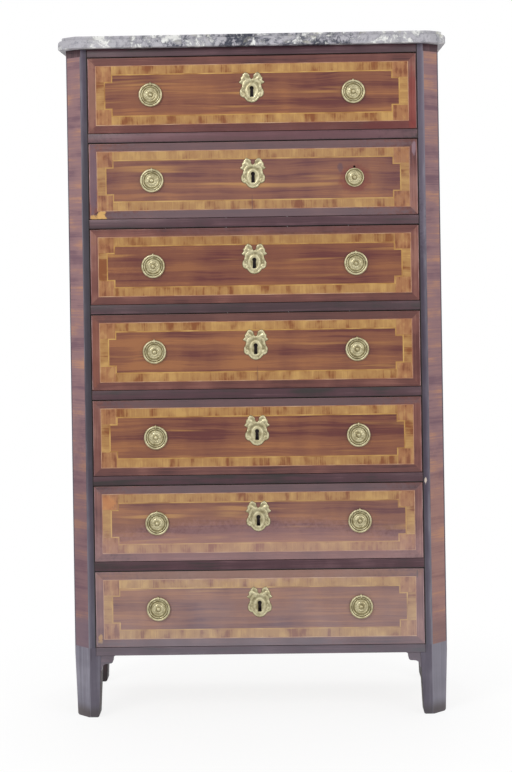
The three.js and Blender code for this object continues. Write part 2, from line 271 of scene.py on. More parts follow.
@dataclass(frozen=True)
class Mark:
    """A stain, a veil, a worn place or a let-in repair beside or on one drawer.

    Attributes:
        drawer: The drawer's number.
        x: Its middle, in millimetres from the case's middle.
        rise: Its middle, in millimetres above the opening's bottom.
        half_width: Half its width in millimetres.
        half_height: Half its height in millimetres.
        colour: Its colour.
        strength: How much of the wood it hides.
        ragged: How uneven its edge is.
        firm: Where its edge starts to fade, as a share of its size.
    """

    drawer: int
    x: float
    rise: float
    half_width: float
    half_height: float
    colour: Colour
    strength: float = 0.6
    ragged: float = 0.5
    firm: float = 0.4

    def lay(self, recipe: Recipe, colour: Wire, spot: tuple[Wire, Wire], cloud: Wire) -> Wire:
        """Lays the mark over a colour.

        Args:
            recipe: The material's recipe.
            colour: The wood's colour.
            spot: The point's place from left to right and its height.
            cloud: Noise that frays the edge.

        Returns:
            The marked colour.
        """
        middle = CASE.opening_bottom(self.drawer) + self.rise * MM
        wide = (spot[0] - self.x * MM) / (self.half_width * MM)
        high = (spot[1] - middle) / (self.half_height * MM)
        reach = wide * wide + high * high + (cloud - 0.5) * (3.0 * self.ragged)
        return recipe.mix(colour, self.colour, (1.0 - reach.smooth(self.firm, 1.25)) * self.strength)


@dataclass(frozen=True)
class Timber:
    """A wood surface under old wax: fibres and streaks, soft patches, pores, worn places, a painted
    highlight on worn arrises, painted shade beside the joints and a painted reflection of the floor.

    Attributes:
        name: The material's name; its length also picks how the leaves of veneer differ.
        dark: Colour of the dark streaks.
        middle: Main colour.
        light: Colour of the light streaks.
        across_fibre: Whether the strip is crossbanded, so that fibres run across its length.
        broad: Broad streaks per metre across the fibre.
        fine: Fine streaks per metre across the fibre.
        streak: How strong the streaks are.
        fine_streak: How strong the fine ones are.
        patch: How strong the soft patches are.
        patch_scale: Patches per metre.
        leaf: Length of one leaf of veneer, or 0 for wood in one length.
        leaf_contrast: How much the leaves differ.
        roughness: Mean roughness.
        coat: Weight of the wax coat.
        relief: Depth of the pores and ripples.
        bloom: How strong the painted reflection of the pale floor is on the lower parts.
        bloom_top: How high that painted reflection reaches.
        worn: Colour of the worn arris with its painted highlight, or None.
        worn_width: How wide that highlight is.
        grime: How dark painted shade and grime make the face away from the arris.
        gold: Colour of sparse golden sapwood streaks, or None.
        wander: How much the streaks wander.
        marks: Stains, worn places and repairs.
        scuffed: Colour of the scuffed foot beside the floor, or None.
    """

    name: str
    dark: Colour
    middle: Colour
    light: Colour
    across_fibre: bool = False
    broad: float = 30.0
    fine: float = 260.0
    streak: float = 1.0
    fine_streak: float = 0.5
    patch: float = 0.4
    patch_scale: float = 14.0
    leaf: float = 0.0
    leaf_contrast: float = 0.3
    roughness: float = 0.42
    coat: float = 0.12
    relief: float = 0.00025
    bloom: float = 0.12
    bloom_top: float = 0.62
    worn: Colour | None = None
    worn_width: float = 0.012
    grime: float = 0.75
    gold: Colour | None = None
    wander: float = 0.012
    marks: tuple[Mark, ...] = ()
    scuffed: Colour | None = None

    # Tint of the painted reflection of the pale floor.
    REFLECTED_FLOOR_TINT = (0.77, 0.85, 1.0, 1.0)
    # Colour of the painted shade, with some grime, beside joints.
    PAINTED_SHADE = tint(26, 16, 22)
    # Brighter painted highlight on worn arrises.
    BRIGHTER_HIGHLIGHT = tint(118, 114, 124)
    COAT_ROUGHNESS = 0.28

    def fibre(self, recipe: Recipe) -> tuple[Wire, Wire]:
        """The point's place along the fibre and across it."""
        along, across = recipe.grain()
        return (across, along) if self.across_fibre else (along, across)

    def tone(self, recipe: Recipe) -> Wire:
        """Adds up streaks, patches and leaves.

        Args:
            recipe: The material's recipe.

        Returns:
            How light or dark the wood is, about 0.
        """
        along, across = recipe.grain()
        fibre, side = self.fibre(recipe)
        sway = recipe.streaks(fibre * 5.0, side * 9.0, 2.0) - 0.5
        side = side + sway * self.wander
        broad = recipe.streaks(fibre * 0.9, side * self.broad, 2.0, 0.5)
        middle = recipe.streaks(fibre * 3.0, side * self.broad * 3.3, 2.0, 0.5)
        fine = recipe.streaks(fibre * 9.0, side * self.fine, 4.0, 0.65)
        patch = recipe.noise(recipe.vector(along, across * 0.6), self.patch_scale, 3.0, 0.5)
        tone = (broad - 0.5) * 2.4 + (middle - 0.5) * 1.2
        tone = tone * self.streak + (fine - 0.5) * (2.0 * self.fine_streak)
        tone = tone + (patch - 0.5) * (3.0 * self.patch)
        if self.leaf:
            ragged = recipe.streaks(along * 17.0, 0.0, 1.0) * 0.9
            cell = (along / self.leaf + ragged).floor()
            tone = tone + (recipe.chance(cell, len(self.name)) - 0.5) * self.leaf_contrast
        return tone

    def sapwood(self, recipe: Recipe, colour: Wire) -> Wire:
        """Lays the golden streaks over the wood.

        Args:
            recipe: The material's recipe.
            colour: The wood's colour.

        Returns:
            The streaked colour.
        """
        fibre, side = self.fibre(recipe)
        sway = recipe.streaks(fibre * 4.0, side * 5.0, 2.0) - 0.5
        sap = recipe.streaks(fibre * 2.6 + 5.0, (side + sway * 0.02) * 74.0, 1.0, 0.4)
        glow = recipe.streaks(fibre * 6.0, side * 14.0, 1.0)
        return recipe.mix(colour, self.gold, sap.smooth(0.6, 0.72) * glow.smooth(0.38, 0.62) * 0.85)

    def age(self, recipe: Recipe, colour: Wire, place: Wire) -> Wire:
        """Adds a worn arris with a painted highlight and painted shade beside it, marks, scuffs, and a
        painted reflection of the pale floor on the lower parts.

        Args:
            recipe: The material's recipe.
            colour: The wood's colour.
            place: The point's place.

        Returns:
            The aged colour.
        """
        cloudy = recipe.noise(place, 11.0, 3.0)
        if self.worn is not None:
            width = self.worn_width
            reach = recipe.grain()[1].size() + (cloudy - 0.5) * 0.006
            # Painted shade, with some grime, darkening the face away from the arris towards the joint.
            colour = recipe.mix(colour, self.PAINTED_SHADE, reach.smooth(0.2 * width, width) * self.grime)
            # Painted highlight on the worn arris, brighter in cloudy places.
            highlight = recipe.mix(self.worn, self.BRIGHTER_HIGHLIGHT, recipe.noise(place, 9.0, 2.0).smooth(0.5, 0.7))
            colour = recipe.mix(highlight, colour, reach.smooth(-0.1 * width, 0.62 * width))
        left_right, _, height = recipe.parts(place)
        fray = recipe.noise(place, 150.0, 3.0, 0.6)
        for mark in self.marks:
            colour = mark.lay(recipe, colour, (left_right, height), fray)
        if self.scuffed is not None:
            scuff = 1.0 - (height + (cloudy - 0.5) * 0.02).smooth(0.008, 0.034)
            colour = recipe.mix(colour, self.scuffed, scuff * 0.9)
        # Painted reflection of the pale floor: a pale tint that grows towards the bottom.
        if not self.bloom:
            return colour
        low = ((self.bloom_top - height) / (0.78 * self.bloom_top)).smooth(0.0, 1.0)
        return recipe.mix(colour, self.REFLECTED_FLOOR_TINT, low * (cloudy * 0.8 + 0.6) * self.bloom)

    def material(self) -> bpy.types.Material:
        """Builds the material.

        Returns:
            The material.
        """
        recipe = Recipe(self.name)
        fibre, side = self.fibre(recipe)
        place = recipe.place()
        tone = self.tone(recipe)
        pores = recipe.streaks(fibre * 60.0, side * 1500.0, 2.0)
        colour = recipe.mix(self.middle, self.dark, (tone * -2.2).smooth(0.0, 1.0))
        colour = recipe.mix(colour, self.light, (tone * 2.2).smooth(0.0, 1.0))
        if self.gold is not None:
            colour = self.sapwood(recipe, colour)
        pits = pores.smooth(0.6, 0.78)
        colour = recipe.mix(colour, self.dark, pits * 0.4)
        haze = recipe.noise(place, 14.0, 4.0, 0.6)
        recipe.feed({
            "Base Color": self.age(recipe, colour, place),
            "Roughness": (haze - 0.5) * 0.22 + pits * 0.12 + self.roughness,
            "Coat Weight": self.coat,
            "Coat Roughness": self.COAT_ROUGHNESS,
        })
        recipe.bump(recipe.noise(place, 26.0, 2.0) * 0.8 - pits * 0.3, self.relief)
        return recipe.material


@dataclass(frozen=True)
class Stone:
    """Honed grey marble: pale grey clouds at the ends, dark slate with white patches in the middle."""

    name: str = "grey_marble"
    slate: Colour = tint(62, 64, 76)
    mid: Colour = tint(112, 112, 122)
    pale: Colour = tint(176, 174, 180)
    cloud: Colour = tint(224, 224, 221)
    ochre: Colour = tint(172, 170, 152)
    bend: float = 0.1
    roughness: float = 0.48
    gloss: float = 0.25
    relief: float = 0.0002

    def material(self) -> bpy.types.Material:
        """Builds the material.

        Returns:
            The material.
        """
        recipe = Recipe(self.name)
        place = recipe.place()
        values = {"Vector": place, "Scale": 7.0, "Detail": 4.0}
        values = {0: recipe.wire("ShaderNodeTexNoise", {}, values, "Color"), 1: (self.bend,) * 3, 2: place}
        moved = recipe.wire("ShaderNodeVectorMath", {"operation": "MULTIPLY_ADD"}, values)
        inner = 1.0 - (recipe.parts(place)[0] + 0.03).size().smooth(0.16, 0.34)
        slab = recipe.noise(moved, 8.0, 5.0, 0.6)
        patch = recipe.noise(moved, 26.0, 6.0, 0.66)
        small = recipe.noise(moved, 70.0, 5.0, 0.7)
        specks = recipe.noise(place, 260.0, 3.0, 0.6)
        grey = patch * 0.45 + small * 0.55 + (inner - 0.5) * 0.05
        colour = recipe.mix(self.pale, self.mid, grey.smooth(0.45, 0.56))
        darkness = small * 0.5 + slab * 0.5 + (inner - 0.8) * 0.13
        colour = recipe.mix(colour, self.slate, darkness.smooth(0.5, 0.58))
        whiteness = patch * 0.5 + small * 0.3 + (1.0 - slab) * 0.2
        colour = recipe.mix(colour, self.cloud, whiteness.smooth(0.5, 0.565))
        colour = recipe.mix(colour, self.ochre, recipe.noise(moved, 44.0, 3.0).smooth(0.58, 0.72) * 0.5)
        colour = recipe.mix(colour, self.slate, specks.smooth(0.56, 0.74) * 0.35)
        recipe.feed({
            "Base Color": colour,
            "Roughness": specks * 0.2 + self.roughness,
            "Specular IOR Level": self.gloss,
        })
        recipe.bump(specks * 0.3 + patch * 0.7, self.relief)
        return recipe.material


@dataclass(frozen=True)
class Metal:
    """Cast or filed metal: worn bright on its high places, dull and dark in its hollows.

    A chased one keeps its height above the wood in the grain map, and its low ground is darker.
    """

    name: str
    bright: Colour
    dull: Colour
    grime: Colour
    roughness: float = 0.4
    metallic: float = 0.85
    relief: float = 0.00022
    chased: bool = False

    def material(self) -> bpy.types.Material:
        """Builds the material.

        Returns:
            The material.
        """
        recipe = Recipe(self.name)
        place = recipe.place()
        cloudy = recipe.noise(place, 90.0, 4.0, 0.6)
        grit = recipe.noise(place, 620.0, 3.0, 0.6)
        hollow = 1.0 - recipe.wire("ShaderNodeNewGeometry", output="Pointiness").smooth(0.42, 0.5)
        if self.chased:
            height = recipe.grain()[0]
            hollow = hollow.or_more(1.0 - (height + (cloudy - 0.5) * 0.3).smooth(0.25, 0.62))
        colour = recipe.mix(self.dull, self.bright, cloudy.smooth(0.35, 0.6))
        colour = recipe.mix(colour, self.grime, hollow * 0.7 + grit.smooth(0.62, 0.8) * 0.35)
        recipe.feed({
            "Base Color": colour,
            "Metallic": self.metallic,
            "Roughness": (grit - 0.5) * 0.25 + hollow * 0.2 + self.roughness,
        })
        recipe.bump(grit * 0.5 + cloudy * 0.5, self.relief)
        return recipe.material


def veneer(name: str, dark: Shade, middle: Shade, light: Shade, **traits: object) -> Timber:
    """A waxed veneer with these display colours."""
    return Timber(name, waxed(*dark), waxed(*middle), waxed(*light), **traits)


def bare_wood(name: str, dark: Shade, middle: Shade, light: Shade, **traits: object) -> Timber:
    """A wood without wax, with these display colours."""
    return Timber(name, tint(*dark), tint(*middle), tint(*light), coat=0.0, **traits)


CRACK = (1.7, 28, tint(92, 54, 44), 0.5)
VEILS = (
    Mark(2, -2.6, 26, *CRACK), Mark(4, 3, 26, *CRACK),
    Mark(2, 0, 84, 430, 130, waxed(128, 132, 150), 0.08),
    Mark(3, 0, 140, 400, 14, waxed(138, 98, 66), 0.3), Mark(6, 0, 20, 430, 70, waxed(172, 132, 128), 0.3)
)
FIELD_MARKS = (
    *VEILS, Mark(2, 192, 106, 7, 11, waxed(84, 78, 92), 0.5),
    Mark(2, 223, 82, 36, 32, waxed(120, 62, 54), 0.45), Mark(3, 60, 84, 420, 90, waxed(104, 62, 50), 0.26)
)
TOP_EDGE = (0, 158, 390, 15)
FOOT_EDGE = (0, 8, 390, 14)
BORDER_MARKS = (
    *VEILS, Mark(1, *FOOT_EDGE, waxed(98, 62, 58), 0.5), Mark(1, 320, 8, 90, 13, waxed(106, 42, 42), 0.6),
    Mark(1, 353, 60, 11, 80, waxed(142, 70, 66), 0.5),
    Mark(1, -353, 84, 11, 80, waxed(152, 114, 100), 0.6), Mark(2, *TOP_EDGE, waxed(112, 98, 102), 0.5),
    Mark(2, 0, 8, 390, 15, waxed(112, 99, 104), 0.7), Mark(2, -353, 90, 11, 85, waxed(112, 96, 108), 0.65),
    Mark(2, -344, 4, 19, 7, waxed(200, 158, 102), 0.9, 1.2),
    Mark(2, -335, 11, 10, 11, waxed(210, 168, 108), 0.9, 1.2),
    Mark(2, 354, 147, 5, 17, waxed(150, 130, 142), 0.6),
    Mark(4, -353, 84, 11, 85, waxed(140, 92, 76), 0.5), Mark(4, *TOP_EDGE, waxed(92, 72, 70), 0.5),
    Mark(5, *TOP_EDGE, waxed(102, 90, 95), 0.65), Mark(6, *TOP_EDGE, waxed(108, 94, 98), 0.6),
    Mark(7, *TOP_EDGE, waxed(138, 96, 66), 0.6),
    Mark(7, -352, 20, 5, 11, waxed(184, 142, 84), 0.8, 1.5, 0.2),
    Mark(7, 347, 155, 1.6, 10, tint(60, 40, 40), 0.7), Mark(7, -100, 8, 290, 14, waxed(100, 88, 92), 0.5)
)


class Palette(Enum):
    """The finishes that the pieces are dressed in."""

    RAIL = veneer(
        "dark_rail_veneer", (66, 47, 53), (85, 65, 70), (106, 82, 87), broad=40, streak=0.6, patch=0.35,
        roughness=0.46, bloom=0.17, bloom_top=0.24,
        marks=(Mark(1, 0, -10, 430, 13, waxed(126, 92, 96), 0.45),
               Mark(3, 0, -10, 430, 13, waxed(62, 44, 46), 0.35)))
    # Painted shade in the gaps between parts, with some dirt.
    JOINT_SHADE = bare_wood("dirt_in_joints", (22, 14, 14), (30, 18, 18), (44, 28, 26), roughness=0.7, bloom=0.03)
    # Worn arris with a painted highlight; its mark brightens it near the top on the right.
    ARRIS_HIGHLIGHT = veneer(
        "worn_arris", (84, 77, 86), (101, 94, 103), (120, 114, 123), streak=0.6, patch=1.0, roughness=0.45,
        marks=(Mark(1, 376, 60, 20, 330, waxed(150, 142, 154), 0.5),))
    STILE = veneer(
        "dark_stile_veneer", (68, 58, 68), (88, 80, 91), (106, 100, 110), broad=34, streak=0.5,
        roughness=0.44, bloom=0.05, bloom_top=0.3, scuffed=waxed(70, 58, 55))
    FOOT = veneer(
        "rubbed_foot", (96, 90, 102), (118, 113, 125), (138, 134, 146), broad=90, streak=0.6, patch=0.6,
        roughness=0.45, bloom=0.04, bloom_top=0.3, scuffed=waxed(76, 64, 61),
        marks=(Mark(7, 394, -60, 60, 120, waxed(138, 134, 144), 0.55, 0.3),))
    # Dark raw wood with painted shade, for the rear posts and the inner and back faces of the feet.
    SHADED_REAR = bare_wood(
        "dark_rear_wood", (22, 11, 14), (33, 18, 23), (50, 31, 36), roughness=0.6, bloom=0.0,
        scuffed=tint(28, 17, 20))
    # Post front: painted highlight on the worn arris, and painted shade with some grime towards the drawers;
    # the pale mark on the right post near the top adds to the highlight.
    POST = veneer(
        "rubbed_post_veneer", (68, 58, 72), (84, 76, 89), (102, 95, 106), broad=60, streak=0.5,
        roughness=0.44, worn=waxed(104, 98, 108), worn_width=0.0115, grime=0.4, bloom=0.05, bloom_top=0.55,
        marks=(Mark(1, 370, 60, 12, 330, waxed(160, 152, 166), 0.18),
               Mark(3, -370, 0, 14, 420, waxed(56, 48, 64), 0.6, 0.1),
               Mark(6, 368.5, 170, 2.4, 6.5, tint(212, 196, 180), 0.8, 1.6)))
    CANT = veneer(
        "cant_crossband", (119, 91, 101), (147, 115, 117), (180, 135, 113), across_fibre=True, broad=26,
        fine=320, leaf=0.042, leaf_contrast=0.23, streak=0.6, patch=0.45, patch_scale=20, wander=0.005,
        bloom=0.0,
        marks=(Mark(6, -394, 0, 60, 330, waxed(102, 72, 80), 0.42, 0.5, 0.1),
               Mark(6, 394, 20, 60, 230, waxed(182, 134, 104), 0.28, 0.5, 0.1),
               Mark(7, -394, 10, 60, 60, waxed(116, 100, 112), 0.6, 0.2),
               Mark(7, 394, 5, 60, 50, waxed(126, 99, 98), 0.6, 0.2)))
    BORDER = veneer(
        "purple_border", (84, 56, 60), (110, 76, 72), (134, 94, 86), broad=60, fine=420, streak=0.45,
        patch=0.5, patch_scale=12, marks=BORDER_MARKS)
    SIDE_BORDER = veneer(
        "end_border", (98, 66, 64), (124, 85, 79), (148, 108, 98), broad=110, fine=420, streak=0.45,
        patch=0.8, patch_scale=12, marks=BORDER_MARKS)
    # Rubbed upright edges of the drawer fronts, with a painted highlight.
    EDGE_HIGHLIGHT = veneer(
        "rubbed_drawer_edge", (118, 84, 84), (146, 110, 108), (168, 134, 130), streak=0.4, patch=1.0,
        patch_scale=20)
    LINE = veneer(
        "pale_stringing", (160, 112, 88), (182, 140, 112), (198, 162, 132), streak=0.4, patch=0.9,
        patch_scale=24, marks=VEILS)
    BAND = veneer(
        "gold_crossband", (134, 86, 60), (171, 131, 87), (190, 152, 98), across_fibre=True, broad=30,
        fine=380, leaf=0.085, leaf_contrast=0.26, streak=0.45, fine_streak=0.45, patch=0.6, patch_scale=40,
        wander=0.004, marks=VEILS)
    CORNER = veneer(
        "corner_square", (132, 86, 66), (162, 116, 84), (180, 138, 96), across_fibre=True, broad=60,
        fine=380, streak=0.5, patch=0.7, patch_scale=60, wander=0.004,
        marks=(*VEILS, Mark(6, -332, 128, 22, 20, waxed(206, 138, 84), 0.5, 0.9, 0.05)))
    INLAY = veneer(
        "yellow_inner_line", (154, 112, 72), (182, 141, 86), (200, 162, 102), streak=0.3, patch=0.9,
        patch_scale=20, marks=VEILS)
    FIELD = veneer(
        "red_brown_field", (104, 66, 64), (133, 90, 73), (156, 108, 78), broad=40, fine=420, streak=0.75,
        fine_streak=0.55, patch=0.5, patch_scale=9, wander=0.02, roughness=0.4, coat=0.15,
        gold=waxed(182, 136, 86), marks=FIELD_MARKS)
    PLAIN = bare_wood(
        "planed_oak", (118, 88, 58), (150, 117, 82), (174, 140, 102), broad=34, streak=0.8,
        fine_streak=0.8, patch=0.15, patch_scale=3, roughness=0.68, relief=0.0004, bloom=0.0)
    END = bare_wood(
        "oak_end_grain", (70, 48, 32), (96, 69, 46), (120, 90, 62), broad=200, fine=900, streak=0.4,
        fine_streak=1.0, patch=0.3, roughness=0.75, relief=0.0004, bloom=0.0)
    BACK = bare_wood(
        "rough_back_boards", (88, 66, 48), (118, 92, 68), (142, 113, 86), broad=26, streak=0.9,
        fine_streak=0.9, patch=0.2, patch_scale=3, roughness=0.75, relief=0.0007, bloom=0.0)
    BRASS = Metal("gilt_brass", tint(194, 186, 152), tint(162, 152, 118), tint(90, 80, 54))
    PLATE = Metal("chased_brass", tint(196, 188, 154), tint(168, 158, 124), tint(102, 92, 62), chased=True)
    IRON = Metal("filed_iron", tint(150, 146, 142), tint(96, 92, 90), tint(48, 40, 36), roughness=0.42)
    MARBLE = Stone()


@dataclass(frozen=True)
class Dressing:
    """One face's finish, the direction of its grain and where its veneer was cut from."""

    finish: Palette
    along: Vector
    shift: Point = (0.0, 0.0)


Rule = Callable[[Vector, Vector], Dressing]


def all_over(finish: Palette, along: Vector, shift: Point = (0.0, 0.0)) -> Rule:
    """A rule that dresses every face alike."""
    return lambda middle, normal: Dressing(finish, along, shift)


# Mesh tools


class Shell:
    """A mesh in the making: faces with a finish and a grain direction, which share their corners."""

    WELD = 0.002 * MM
    FLAT = math.radians(0.6)
    SHARP = math.radians(28)
    LEAST_SPREAD = 0.2

    def __init__(self, name: str) -> None:
        """Starts empty.

        Args:
            name: The piece's name.
        """
        self.name = name
        self.mesh = bmesh.new()
        self.uv = self.mesh.loops.layers.uv.new(GRAIN)
        self.corners: dict[tuple[int, ...], bmesh.types.BMVert] = {}
        self.finishes: list[Palette] = []

    @classmethod
    def from_node(cls, node: str, name: str, ease: float = 0.8 * MM) -> "Shell":
        """Copies a CAD node, joins its flat faces and eases its sharp edges.

        Args:
            node: The CAD node.
            name: The new piece's name.
            ease: Width of the eased edge.

        Returns:
            The shell, still undressed.
        """
        shell = cls(name)
        mesh = shell.mesh
        mesh.from_mesh(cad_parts[node].data)
        shell.uv = mesh.loops.layers.uv.get(GRAIN)
        bmesh.ops.remove_doubles(mesh, verts=mesh.verts, dist=cls.WELD)
        bmesh.ops.dissolve_limit(mesh, angle_limit=cls.FLAT, verts=mesh.verts, edges=mesh.edges)
        shell.ease([edge for edge in mesh.edges if edge.calc_face_angle(0.0) > cls.SHARP], ease)
        return shell

    def ease(self, edges: Sequence[bmesh.types.BMEdge], width: float) -> None:
        """Rounds these edges a little."""
        bmesh.ops.bevel(self.mesh, geom=edges, offset=width, segments=2, profile=0.5, affect="EDGES",
                        clamp_overlap=True)

    def block(self, low: Place, high: Place, ease: float) -> None:
        """Adds a block with eased edges.

        Args:
            low: The lowest corner.
            high: The highest corner.
            ease: Width of the eased edges.
        """
        made = bmesh.ops.create_cube(self.mesh, size=1.0)["verts"]
        for vert in made:
            vert.co = Vector(high[axis] if vert.co[axis] > 0 else low[axis] for axis in range(3))
        self.ease(list(dict.fromkeys(edge for vert in made for edge in vert.link_edges)), ease)

    def corner(self, place: Place) -> bmesh.types.BMVert:
        """The vertex that all faces meeting at a place share."""
        key = tuple(round(value * 1e7) for value in place)
        return self.corners.get(key) or self.corners.setdefault(key, self.mesh.verts.new(place))

    def face(self, places: Iterable[Place], finish: Palette, along: Place = RIGHT, across: Place = UPWARD,
             shift: Point = (0.0, 0.0)) -> None:
        """Adds one flat face.

        Args:
            places: Its corners in order.
            finish: Its finish.
            along: Direction of the strip's length.
            across: Direction across it.
            shift: Added to the grain's place, so that two strips differ.
        """
        made = self.mesh.faces.new([self.corner(place) for place in places])
        made.material_index = self.index(finish)
        self.lay_grain(made, along, across, shift)

    def wall(self, near: Sequence[Place], far: Sequence[Place], finish: Palette,
             along: Place = RIGHT) -> None:
        """Joins two outlines of as many points by a wall of faces."""
        for corners in zip(near, [*near[1:], near[0]], [*far[1:], far[0]], far):
            self.face(corners, finish, along)

    def lay_grain(self, face: bmesh.types.BMFace, along: Place, across: Place, shift: Point) -> None:
        """Writes a face's place along and across the grain.

        Args:
            face: The face.
            along: Direction of the strip's length.
            across: Direction across it.
            shift: Added to the place.
        """
        for loop in face.loops:
            place = loop.vert.co
            loop[self.uv].uv = (along.dot(place) + shift[0], across.dot(place) + shift[1])

    def index(self, finish: Palette) -> int:
        """Finds a finish's number among this mesh's materials.

        Args:
            finish: The finish.

        Returns:
            Its number.
        """
        if finish not in self.finishes:
            self.finishes.append(finish)
        return self.finishes.index(finish)

    def cut(self, place: Place, direction: Vector) -> None:
        """Draws a joint line where a plane meets the mesh."""
        parts = [*self.mesh.verts, *self.mesh.edges, *self.mesh.faces]
        bmesh.ops.bisect_plane(self.mesh, geom=parts, dist=1e-7, plane_co=place, plane_no=direction)

    def cut_across(self, direction: Vector, *distances: float) -> None:
        """Draws joint lines square to a direction, at these distances."""
        for distance in distances:
            self.cut(direction * distance, direction)

    def dress(self, rule: Rule) -> None:
        """Gives every face the finish and grain that a rule picks from its middle and normal.

        Args:
            rule: The rule.
        """
        self.mesh.normal_update()
        for face in self.mesh.faces:
            chosen = rule(face.calc_center_median(), face.normal)
            face.material_index = self.index(chosen.finish)
            across = Vector(face.normal).cross(chosen.along)
            across = across.normalized() if across.length > self.LEAST_SPREAD else RIGHT
            self.lay_grain(face, chosen.along, across, chosen.shift)


def finished(solid: bmesh.types.BMesh, name: str, *materials: bpy.types.Material) -> bpy.types.Mesh:
    """Turns a solid's faces outwards and writes it to a mesh.

    Args:
        solid: The solid, which is freed.
        name: The mesh's name.
        materials: Its materials.

    Returns:
        The mesh.
    """
    bmesh.ops.recalc_face_normals(solid, faces=solid.faces)
    mesh = bpy.data.meshes.new(name)
    solid.to_mesh(mesh)
    solid.free()
    for material in materials:
        mesh.materials.append(material)
    return mesh


def hang(name: str, data: bpy.types.ID | None) -> bpy.types.Object:
    """Makes an object and links it to the scene.

    Args:
        name: Its name.
        data: Its mesh, light or camera.

    Returns:
        The object.
    """
    made = bpy.data.objects.new(name, data)
    bpy.context.scene.collection.objects.link(made)
    return made


class Pattern(Nodes):
    """A Geometry Nodes tree that sets copies, and runs on a mesh."""

    def __init__(self, name: str, lengths: Sequence[str], counted: bool) -> None:
        """Starts a tree.

        Args:
            name: The tree's name.
            lengths: The names of its sizes.
            counted: Whether it also takes a count.
        """
        super().__init__(bpy.data.node_groups.new(name, "GeometryNodeTree"))
        kinds = {"Count": "NodeSocketInt"} if counted else {}
        kinds.update(dict.fromkeys(lengths, "NodeSocketFloat"), Material="NodeSocketMaterial")
        face = self.tree.interface
        face.new_socket("Geometry", in_out="INPUT", socket_type="NodeSocketGeometry")
        self.keys = {each: face.new_socket(each, in_out="INPUT", socket_type=kind).identifier
                     for each, kind in kinds.items()}
        face.new_socket("Geometry", in_out="OUTPUT", socket_type="NodeSocketGeometry")
        self.entry = self.node("NodeGroupInput").outputs

    def ball(self, segments: int, rings: int, *sizes: str) -> Wire:
        """Adds a ball that is scaled along X, Y and Z.

        Args:
            segments: Faces round its axis.
            rings: Faces from pole to pole.
            sizes: The names of the three sizes that scale it.

        Returns:
            The ball.
        """
        values = {"Segments": segments, "Rings": rings, "Radius": 1.0}
        scale = self.vector(*(self.entry[size] for size in sizes))
        values = {"Geometry": self.wire("GeometryNodeMeshUVSphere", {}, values), "Scale": scale}
        return self.wire("GeometryNodeTransform", {}, values)

    def set_copies(self, values: dict, with_base: bool) -> None:
        """Sets the copies, makes them real, joins the base mesh where asked, and sets the material.

        Args:
            values: The points, what stands on them and its turn.
            with_base: Whether the base mesh stays.
        """
        copies = self.wire("GeometryNodeInstanceOnPoints", {}, values)
        real = self.wire("GeometryNodeRealizeInstances", {}, {"Geometry": copies})
        if with_base:
            joined = self.wire("GeometryNodeJoinGeometry", {}, {0: real})
            self.put(joined.socket.node.inputs[0], self.entry["Geometry"])
            real = joined
        values = {"Geometry": real, "Material": self.entry["Material"]}
        self.node("NodeGroupOutput", {}, {0: self.wire("GeometryNodeSetMaterial", {}, values)})

    def grow(self, mesh: bpy.types.Mesh, *runs: dict) -> bpy.types.Mesh:
        """Runs the tree on a mesh, once for each set of values.

        Args:
            mesh: The base mesh.
            runs: The values of the inputs by name, one set for each run.

        Returns:
            The plain mesh that comes out.
        """
        carrier = hang("carrier", mesh)
        for values in runs:
            modifier = carrier.modifiers.new("grow", "NODES")
            modifier.node_group = self.tree
            for name, value in values.items():
                modifier[self.keys[name]] = value
        ready = carrier.evaluated_get(bpy.context.evaluated_depsgraph_get())
        grown = bpy.data.meshes.new_from_object(ready)
        carrier.modifiers.clear()
        bpy.data.objects.remove(carrier)
        return grown


def rosette_pattern() -> Pattern:
    """Drops or beads set evenly round a turned boss, whose axis is +Z.

    Returns:
        The tree.
    """
    pattern = Pattern("rosette", ("Ring radius", "Height", "Length", "Width", "Rise"), counted=True)
    entry = pattern.entry
    values = {"Vertices": entry["Count"], "Radius": entry["Ring radius"]}
    circle = pattern.wire("GeometryNodeMeshCircle", {}, values)
    values = {"Geometry": circle, "Translation": pattern.vector(z=entry["Height"])}
    points = pattern.wire("GeometryNodeTransform", {}, values)
    turn = pattern.wire("GeometryNodeInputIndex") * pattern.sum("DIVIDE", math.tau, entry["Count"])
    drop = pattern.ball(8, 5, "Length", "Width", "Rise")
    values = {"Points": points, "Instance": drop, "Rotation": pattern.vector(z=turn)}
    pattern.set_copies(values, with_base=True)
    return pattern


def stud_pattern() -> Pattern:
    """A low dome, such as a nail's or screw's head, on every point of the base mesh.

    Returns:
        The tree.
    """
    pattern = Pattern("studs", ("Head radius", "Head height"), counted=False)
    dome = pattern.ball(12, 6, "Head radius", "Head height", "Head radius")
    pattern.set_copies({"Points": pattern.entry["Geometry"], "Instance": dome}, with_base=False)
    return pattern


def row_pattern() -> Pattern:
    """Copies of the base mesh in a row up +Z, such as the tails of a dovetail joint.

    Returns:
        The tree.
    """
    pattern = Pattern("row", ("Pitch",), counted=True)
    settings = {"mode": "OFFSET", "count_mode": "TOTAL"}
    values = {"Count": pattern.entry["Count"], "Offset": pattern.vector(z=pattern.entry["Pitch"])}
    line = pattern.wire("GeometryNodeMeshLine", settings, values)
    pattern.set_copies({"Points": line, "Instance": pattern.entry["Geometry"]}, with_base=False)
    return pattern


